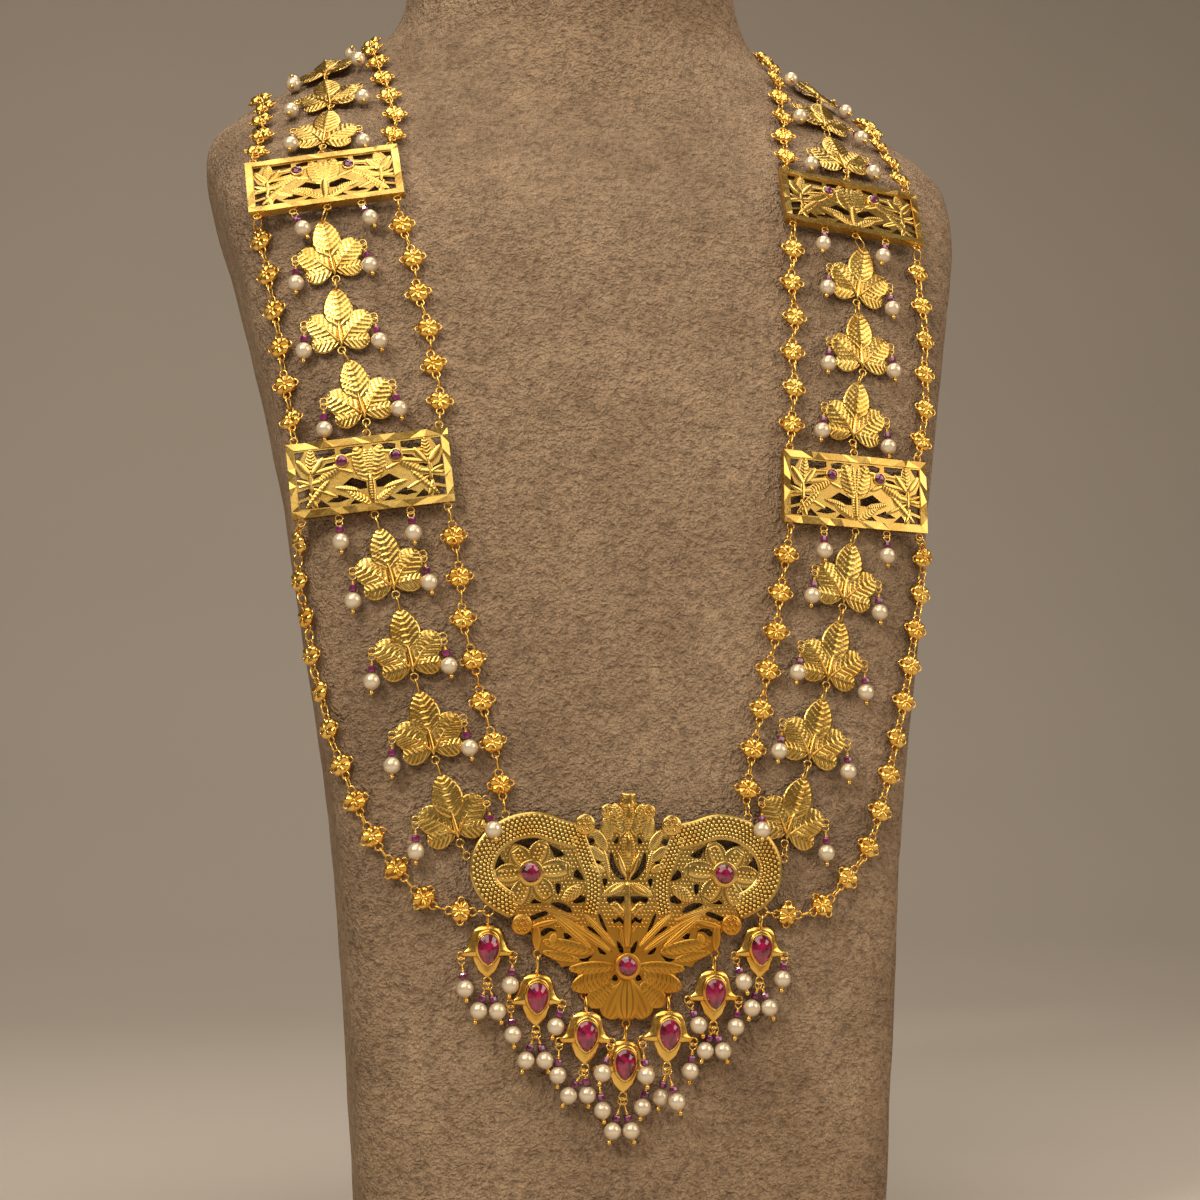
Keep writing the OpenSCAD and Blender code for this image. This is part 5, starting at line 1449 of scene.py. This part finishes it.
def plaster_material():
    """Pebbled grey-brown plaster, with painted shade in its pits."""
    material, tree, shader, coords = new_material("pebbled_plaster")
    if tree is None:
        return material
    place = coords["Object"]
    pebble = noisy(tree, place, 440.0, 3.0, 0.55)
    grain = noisy(tree, place, 1300.0, 2.0)
    wave = noisy(tree, place, 28.0, 4.0)
    stain = noisy(tree, place, 9.0, 3.0)
    cracks = put(tree, "ShaderNodeTexVoronoi", Vector=place, Scale=150.0, feature="SMOOTH_F1")
    rough = sum_of(tree, pebble, cracks.outputs["Distance"])
    height = put(tree, "ShaderNodeMath", {0: rough, 1: grain, 2: pebble}, operation="MULTIPLY_ADD")
    colour = ramped(tree, wave, (0.3, (0.46, 0.31, 0.19)), (0.7, (0.68, 0.475, 0.3)))
    # Painted shade: the colour darkens in the pebble pits, where the bump sinks
    pit_shaded = mixed(tree, 1.0, colour, ranged(tree, pebble, 0.34, 0.54, 0.62, 1.0), "MULTIPLY")
    fill(tree, shader, {
        "Base Color": mixed(tree, stain, pit_shaded, (0.82, 0.78, 0.74, 1), "MULTIPLY"),
        "Normal": bumped(tree, height.outputs["Value"], 1.0, 0.0036),
        "Roughness": 0.88, "Specular IOR Level": 0.25})
    return material


def plain_material(name, colour, rough):
    """A near even paint with a faint cloud."""
    material, tree, shader, coords = new_material(name)
    if tree is None:
        return material
    darker = (*[c * 0.94 for c in colour], 1)
    cloud = noisy(tree, coords["Object"], 3.0, 2.0)
    fill(tree, shader, {"Base Color": mixed(tree, cloud, darker, (*colour, 1)), "Roughness": rough})
    return material


# Pieces
def finish_piece(name, bm, material, nodes=()):
    """A piece in metres that rides on the body, from a bmesh in millimetres."""
    mesh = written(bm, name)
    mesh.transform(Matrix.Scale(MM, 4))
    mesh.materials.append(material)
    piece = bpy.data.objects.new(name, mesh)
    bpy.context.scene.collection.objects.link(piece)
    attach(piece, BODY)
    if nodes:
        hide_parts(*nodes)
    return piece


def pick(*key):
    """A steady chance number from 0 to 1 for a key of three numbers."""
    return noise.cell(Vector(key)) / 2 + 0.5


FLOWER_TURN = 13


def wobble(place, key, amount):
    """A placing turned a little about its strand, the same way each run."""
    turn = (pick(*key) - 0.5) * 2 * amount
    return place @ Matrix.Rotation(radians(turn), 4, "Y")


def add_chain(name):
    """One run of flowers and the links between them."""
    strand = STRANDS[name]
    frames = unit_frames(name, RING_REACH, RING_REACH)
    last = len(frames) - 1
    to_pendant = name.startswith("outer_low")
    bm = new_bmesh()
    for k, f in enumerate(frames):
        upper = Vector(strand.top) if k == 0 else at(frames[k - 1], (0, -RING_REACH, 0))
        out = axis_of(f, 2)
        key = (k * 2.3 + 0.1, f[0][3] * 0.37, f[2][3] * 0.21)
        stamp(bm, flower_mesh(), wobble(f, key, FLOWER_TURN))
        link_at(bm, at(f, (0, RING_REACH, 0)), upper, out, half=WIDE_HALF if k == 0 else LINK_HALF)
        if k == last:
            link_at(bm, at(f, (0, -RING_REACH, 0)), Vector(strand.foot), out,
                    head_hole=BIG_HOLE_R if to_pendant else HOLE_R, half=WIDE_HALF)
    finish_piece(name + "_flowers", bm, gold_material("gold_polished"), [name])


def add_leaves(name, beads):
    """One run of leaves with their links and pins; their beads go into another piece."""
    strand = STRANDS[name]
    frames = leaf_frames(name)
    last = len(frames) - 1
    bm = new_bmesh()
    for k, f in enumerate(frames):
        upper = Vector(strand.top) if k == 0 else at(frames[k - 1], (0, -FOOT_RING_Y, 0))
        out = axis_of(f, 2)
        stamp(bm, leaf_mesh(), f)
        link_at(bm, at(f, (0, TIP_Y, 0)), upper, out, 0.0, half=WIDE_HALF if k == 0 else LINK_HALF)
        if k == last:
            link_at(bm, at(f, (0, -FOOT_RING_Y, 0)), Vector(strand.foot), out, half=WIDE_HALF)
        for s in (-1, 1):
            pin_at(bm, beads, leaf_side_ring(f, s), leaf_pearl(name, k, s), out)
    finish_piece(name + "_leaves", bm, gold_material("gold_cut_shaded"), [name])


def add_plaque(level, side, beads):
    """A plaque with its pins and its two small stones."""
    f = PLAQUE_FRAMES[level, side]
    bm = new_bmesh()
    stamp(bm, plaque_mesh(level != "top"), f)
    for i in PEARL_RINGS:
        pin_at(bm, beads, below_ring(level, side, i), plaque_pearl(level, side, i), axis_of(f, 2))
    node = "plaque_%s_%s" % (level, SIDES[side])
    finish_piece(node + "_box", bm, gold_material("gold_cut_shaded"), [node])
    stones = new_bmesh()
    for s in (-1, 1):
        stamp(stones, stone_mesh(circle_points(PLAQUE_STONE_R, 10), GARNET_HEIGHT),
              f @ move(s * PLAQUE_STONE[0], PLAQUE_STONE[1], PLAQUE_D + 0.1))
    finish_piece(node + "_stones", stones, stone_material("garnet"))


def pearl_at(bm, ring, pearl):
    """A pearl whose poles lie along its pin."""
    down = (pearl - ring).normalized()
    turned = down.to_track_quat("-Z", "Y").to_matrix().to_4x4()
    stamp(bm, ball_mesh(PEARL_R, 24, 14), shift(*pearl) @ turned)


class NecklaceSettings(bpy.types.PropertyGroup):
    """Sizes and colours that a user may change."""

    floor_colour: bpy.props.FloatVectorProperty(
        name="Floor colour", description="Colour of the plain floor", subtype="COLOR",
        default=(0.62, 0.55, 0.47), min=0.0, max=1.0)
    key_power: bpy.props.FloatProperty(
        name="Key light", description="Power of the large front light", default=6.8, min=0.0, unit="POWER")
    spark_power: bpy.props.FloatProperty(
        name="Spark light", description="Power of the small light that gives glints", default=4.5, min=0.0,
        unit="POWER")
    fill_power: bpy.props.FloatProperty(
        name="Fill light", description="Power of the side light", default=8.5, min=0.0, unit="POWER")
    world_strength: bpy.props.FloatProperty(
        name="Room light", description="Strength of the even room light", default=0.2, min=0.0)
    bust_rows: bpy.props.IntProperty(
        name="Bust rows", description="Rows of faces up the bust", default=110, min=20)
    bust_sides: bpy.props.IntProperty(
        name="Bust sides", description="Faces round the bust", default=160, min=24)
    plaster_relief: bpy.props.FloatProperty(
        name="Plaster relief", description="Depth of the plaster's waves, in metres", default=0.00035,
        unit="LENGTH")


def settings():
    return bpy.context.scene.necklace


# Bevel of the bust's edges, and its plaster waves
BUST_EDGE = 1.5
WAVE_SCALE = 0.045
WAVE_MOST = 0.25


class NECKLACE_OT_bust(bpy.types.Operator):
    """Plain plaster neck bust"""

    bl_idname = "necklace.bust"
    bl_label = "Plaster bust"

    def execute(self, context):
        rows, sides = settings().bust_rows, settings().bust_sides
        relief = settings().plaster_relief / MM
        top_z = BUST_ROWS[-1][0]
        bm = bmesh.new()
        turn = bm.verts.layers.int.new("turn")
        made = bmesh.ops.create_circle(bm, segments=sides, radius=1.0, cap_ends=False)
        for i, v in enumerate(made["verts"]):
            v[turn] = i
        loop = edges_round(made["verts"])
        straight = top_z - 2 * BUST_EDGE
        levels = [(0.0, BUST_EDGE), (BUST_EDGE, 0.0)]
        levels += [(BUST_EDGE + straight * k / rows, 0.0) for k in range(1, rows + 1)]
        levels.append((top_z, BUST_EDGE))
        for n, (z, inset) in enumerate(levels):
            if n:
                made = bmesh.ops.extrude_edge_only(bm, edges=loop)
                verts = bm_verts(made)
                rim = set(verts)
                loop = [g for g in made["geom"] if isinstance(g, bmesh.types.BMEdge)
                        and all(v in rim for v in g.verts)]
            else:
                verts = made["verts"]
                foot = loop
            for v in verts:
                a = 2 * pi * v[turn] / sides
                curve = soft(z, FRONT_CURVE if sin(a) < 0 else BACK_CURVE)
                r = (abs(cos(a)) ** curve + abs(sin(a)) ** curve) ** (-1 / curve)
                x = r * cos(a) * (soft(z, WIDTH) - inset)
                mid = soft(z, MIDDLE)
                depth = (mid - soft(z, FRONT) if sin(a) < 0 else soft(z, BACK) - mid) - inset
                v.co = (x, mid + bow_at(x, z) + r * sin(a) * depth, z)
        for edges in (foot, loop):
            bmesh.ops.contextual_create(bm, geom=edges)
        bmesh.ops.recalc_face_normals(bm, faces=bm.faces)
        for v in bm.verts:
            if 2 * BUST_EDGE < v.co.z < top_z - 2 * BUST_EDGE:
                wave = noise.fractal(v.co * WAVE_SCALE, 0.8, 2.1, 4)
                v.co += v.normal * min(wave * relief, WAVE_MOST)
        smooth_faces(bm, most=4)
        finish_piece("bust_plaster", bm, plaster_material(), ["bust"])
        return {"FINISHED"}


class NECKLACE_OT_chains(bpy.types.Operator):
    """Flower chains on both sides"""

    bl_idname = "necklace.chains"
    bl_label = "Flower chains"

    def execute(self, context):
        for levels in (("low", "mid", "top"), ("back",)):
            for side in SIDES:
                for level in levels:
                    for kind in ("inner", "outer"):
                        add_chain("%s_%s_%s" % (kind, level, side))
        return {"FINISHED"}


class NECKLACE_OT_strands(bpy.types.Operator):
    """Leaf strands and plaques with their pins, beads and pearls"""

    bl_idname = "necklace.strands"
    bl_label = "Leaves and plaques"

    def execute(self, context):
        for side in (0, 1):
            beads, pearls = new_bmesh(), new_bmesh()
            for level in ("low", "mid", "top"):
                name = "leaves_%s_%s" % (level, SIDES[side])
                add_leaves(name, beads)
                add_plaque(level, side, beads)
                for k, f in enumerate(leaf_frames(name)):
                    for s in (-1, 1):
                        pearl_at(pearls, leaf_side_ring(f, s), leaf_pearl(name, k, s))
                for i in PEARL_RINGS:
                    pearl_at(pearls, below_ring(level, side, i), plaque_pearl(level, side, i))
            finish_piece("strand_beads_" + SIDES[side], beads, stone_material("bead_red_violet"))
            finish_piece("pearls_" + SIDES[side], pearls, pearl_material(),
                         ["strand_pearls_" + SIDES[side]])
        return {"FINISHED"}


class NECKLACE_OT_pendant(bpy.types.Operator):
    """Pierced pendant with cast relief and three round stones"""

    bl_idname = "necklace.pendant"
    bl_label = "Pendant"

    def execute(self, context):
        bm = new_bmesh()
        stamp(bm, pendant_mesh(), PENDANT_FRAME)
        finish_piece("pendant_relief", bm, gold_relief(), ["pendant_plate"])
        for node, x, y in (("left", -RUBY_SIDE[0], RUBY_SIDE[1]), ("right", *RUBY_SIDE), ("low", *RUBY_LOW)):
            stone = new_bmesh()
            stamp(stone, stone_mesh(circle_points(RUBY_R, 16), RUBY_HEIGHT),
                  PENDANT_FRAME @ move(x, y, PLATE_T + RUBY_LEVEL))
            finish_piece("ruby_" + node, stone, stone_material("ruby_red"), ["pendant_ruby_" + node])
        return {"FINISHED"}


class NECKLACE_OT_drops(bpy.types.Operator):
    """Bell drops with pear stones and pearls"""

    bl_idname = "necklace.drops"
    bl_label = "Drops"

    def execute(self, context):
        beads, pearls = new_bmesh(), new_bmesh()
        for i in range(len(DROPS)):
            f, rings = drop_frame(i), drop_rings(i)
            bm = new_bmesh()
            stamp(bm, drop_mesh(), f)
            hook = at(PENDANT_FRAME, (*DROP_RINGS[i], RING_Z))
            link_at(bm, at(f, (0, HOOK_Y, 0)), hook, axis_of(f, 2), 0.0,
                    BIG_HOLE_R if i in END_DROPS else HOLE_R)
            for k in range(4):
                pin_at(bm, beads, rings[k], drop_pearl_at(i, k), axis_of(f, 2))
                pearl_at(pearls, rings[k], drop_pearl_at(i, k))
            number = str(i + 1)
            finish_piece("bell_" + number, bm, gold_material("gold_polished"), ["drop_" + number])
            stone = new_bmesh()
            stamp(stone, stone_mesh(pear_points(16), PEAR_HEIGHT), f @ move(*STONE_AT, PEAR_LEVEL))
            finish_piece("pear_stone_" + number, stone, stone_material("ruby_red"),
                         ["drop_ruby_" + number])
        finish_piece("drop_beads", beads, stone_material("bead_red_violet"))
        finish_piece("pearls_low", pearls, pearl_material(), ["drop_pearls"])
        return {"FINISHED"}


CLASP_AT = (0, 115.25, 373)
CLASP_HALF = (12.5, 9.5)
CLASP_RINGS = [(x, y, 0) for x in (-15, 15) for y in (-7, 7)]


class NECKLACE_OT_clasp(bpy.types.Operator):
    """Plain clasp plate at the nape"""

    bl_idname = "necklace.clasp"
    bl_label = "Clasp"

    def execute(self, context):
        f = frame_from(CLASP_AT, (0, 0, 1), Vector((0, 1, 0.1)).normalized())
        bm = new_bmesh()
        w, h = CLASP_HALF
        plate = puffed([(-w, -h), (w, -h), (w, h), (-w, h)], -1, 0.6, [(0.4, 0.3), (0.4, 0.1)])
        stamp(bm, plate, f)
        for ring in CLASP_RINGS:
            ring_at(bm, f, ring, HOLE_R, 2.8)
        finish_piece("clasp_plate", bm, gold_material("gold_polished"), ["clasp"])
        return {"FINISHED"}


# The camera's place and directions in metres, and its lens in pixels of the whole picture
CAMERA_AT = (-0.1262, -0.6660, 0.1343)
CAMERA_RIGHT = (0.9827, -0.1851, -0.0047)
CAMERA_DOWN = (0.0157, 0.1084, -0.994)
CAMERA_FORWARD = (0.1844, 0.9767, 0.1095)
FOCAL_PIXELS = 2099
IMAGE_PIXELS = 1200
SENSOR_MM = 36.0
# Floor in metres: flat part, radius of the bow at its back, height of the wall, front edge, half width
FLOOR_FLAT = 3.4
FLOOR_BOW = 0.8
FLOOR_WALL = 2.6
FLOOR_FRONT = -2.4
FLOOR_HALF = 4.0
# Name, place, target, size, setting of its power, share of that power and colour
LIGHTS = (
    ("key", (-0.32, -0.62, 0.98), (0, 0, 0.26), 1.0, "key_power", 1.0, (1.0, 0.93, 0.82)),
    ("spark", (-0.75, -0.75, 0.95), (0, 0, 0.24), 0.12, "spark_power", 1.0, (1.0, 0.95, 0.86)),
    ("fill", (1.1, -0.75, 0.85), (0, 0, 0.24), 1.0, "fill_power", 1.0, (1.0, 0.9, 0.78)),
    ("top", (0.1, 0.1, 1.5), (0, 0, 0.3), 0.8, "fill_power", 0.8, (1.0, 0.95, 0.88)))


class NECKLACE_OT_stage(bpy.types.Operator):
    """Floor, backdrop, soft lights and camera"""

    bl_idname = "necklace.stage"
    bl_label = "Stage"

    def execute(self, context):
        scene = context.scene
        bm = bmesh.new()
        bmesh.ops.create_grid(bm, x_segments=1, y_segments=24, size=1)
        arc = FLOOR_BOW * pi / 2
        for v in bm.verts:
            s = (v.co.y + 1) / 2 * (FLOOR_FLAT + arc + FLOOR_WALL)
            a = min(max(s - FLOOR_FLAT, 0.0) / FLOOR_BOW, pi / 2)
            y = FLOOR_FRONT + min(s, FLOOR_FLAT) + FLOOR_BOW * sin(a)
            z = FLOOR_BOW * (1 - cos(a)) + max(s - FLOOR_FLAT - arc, 0.0)
            v.co = (v.co.x * FLOOR_HALF, y, z)
        smooth_faces(bm)
        mesh = written(bm, "studio_floor")
        mesh.materials.append(plain_material("floor_paint", settings().floor_colour, 0.75))
        floor = bpy.data.objects.new("studio_floor", mesh)
        scene.collection.objects.link(floor)

        for name, place, target, size, setting, share, colour in LIGHTS:
            power = getattr(settings(), setting) * share
            light = bpy.data.lights.new(name, "AREA")
            light.shape, light.size, light.energy, light.color = "SQUARE", size, power, colour
            lamp = bpy.data.objects.new(name, light)
            lamp.location = place
            lamp.rotation_euler = (Vector(target) - Vector(place)).to_track_quat("-Z", "Y").to_euler()
            scene.collection.objects.link(lamp)

        world = bpy.data.worlds.new("studio")
        world.use_nodes = True
        back = world.node_tree.nodes["Background"]
        back.inputs["Color"].default_value = (0.62, 0.5, 0.4, 1)
        back.inputs["Strength"].default_value = settings().world_strength
        scene.world = world

        camera = bpy.data.cameras.new("photo_camera")
        camera.sensor_width = SENSOR_MM
        camera.lens = FOCAL_PIXELS / IMAGE_PIXELS * SENSOR_MM
        camera.clip_start, camera.clip_end = 0.01, 50
        eye = bpy.data.objects.new("photo_camera", camera)
        right, down, forward = (Vector(v).normalized()
                                for v in (CAMERA_RIGHT, CAMERA_DOWN, CAMERA_FORWARD))
        eye.matrix_world = frame_of(Vector(CAMERA_AT), right, -down, -forward)
        scene.collection.objects.link(eye)
        scene.camera = eye
        scene.view_settings.view_transform = "Standard"
        return {"FINISHED"}


OPERATORS = (NECKLACE_OT_stage, NECKLACE_OT_bust, NECKLACE_OT_chains, NECKLACE_OT_strands,
             NECKLACE_OT_pendant, NECKLACE_OT_drops, NECKLACE_OT_clasp)


class NECKLACE_PT_panel(bpy.types.Panel):
    """Lists the steps of the necklace"""

    bl_idname = "NECKLACE_PT_panel"
    bl_label = "Necklace"
    bl_space_type = "VIEW_3D"
    bl_region_type = "UI"
    bl_category = "Necklace"

    def draw(self, context):
        for name in NecklaceSettings.__annotations__:
            self.layout.prop(context.scene.necklace, name)
        for operator in OPERATORS:
            self.layout.operator(operator.bl_idname)


CLASSES = (NecklaceSettings, *OPERATORS, NECKLACE_PT_panel)


def register():
    for cls in CLASSES:
        bpy.utils.register_class(cls)
    bpy.types.Scene.necklace = bpy.props.PointerProperty(type=NecklaceSettings)


def unregister():
    del bpy.types.Scene.necklace
    for cls in reversed(CLASSES):
        bpy.utils.unregister_class(cls)


def main():
    register()
    for operator in OPERATORS:
        getattr(bpy.ops.necklace, operator.bl_idname.split(".")[1])()


if __name__ == "__main__":
    main()
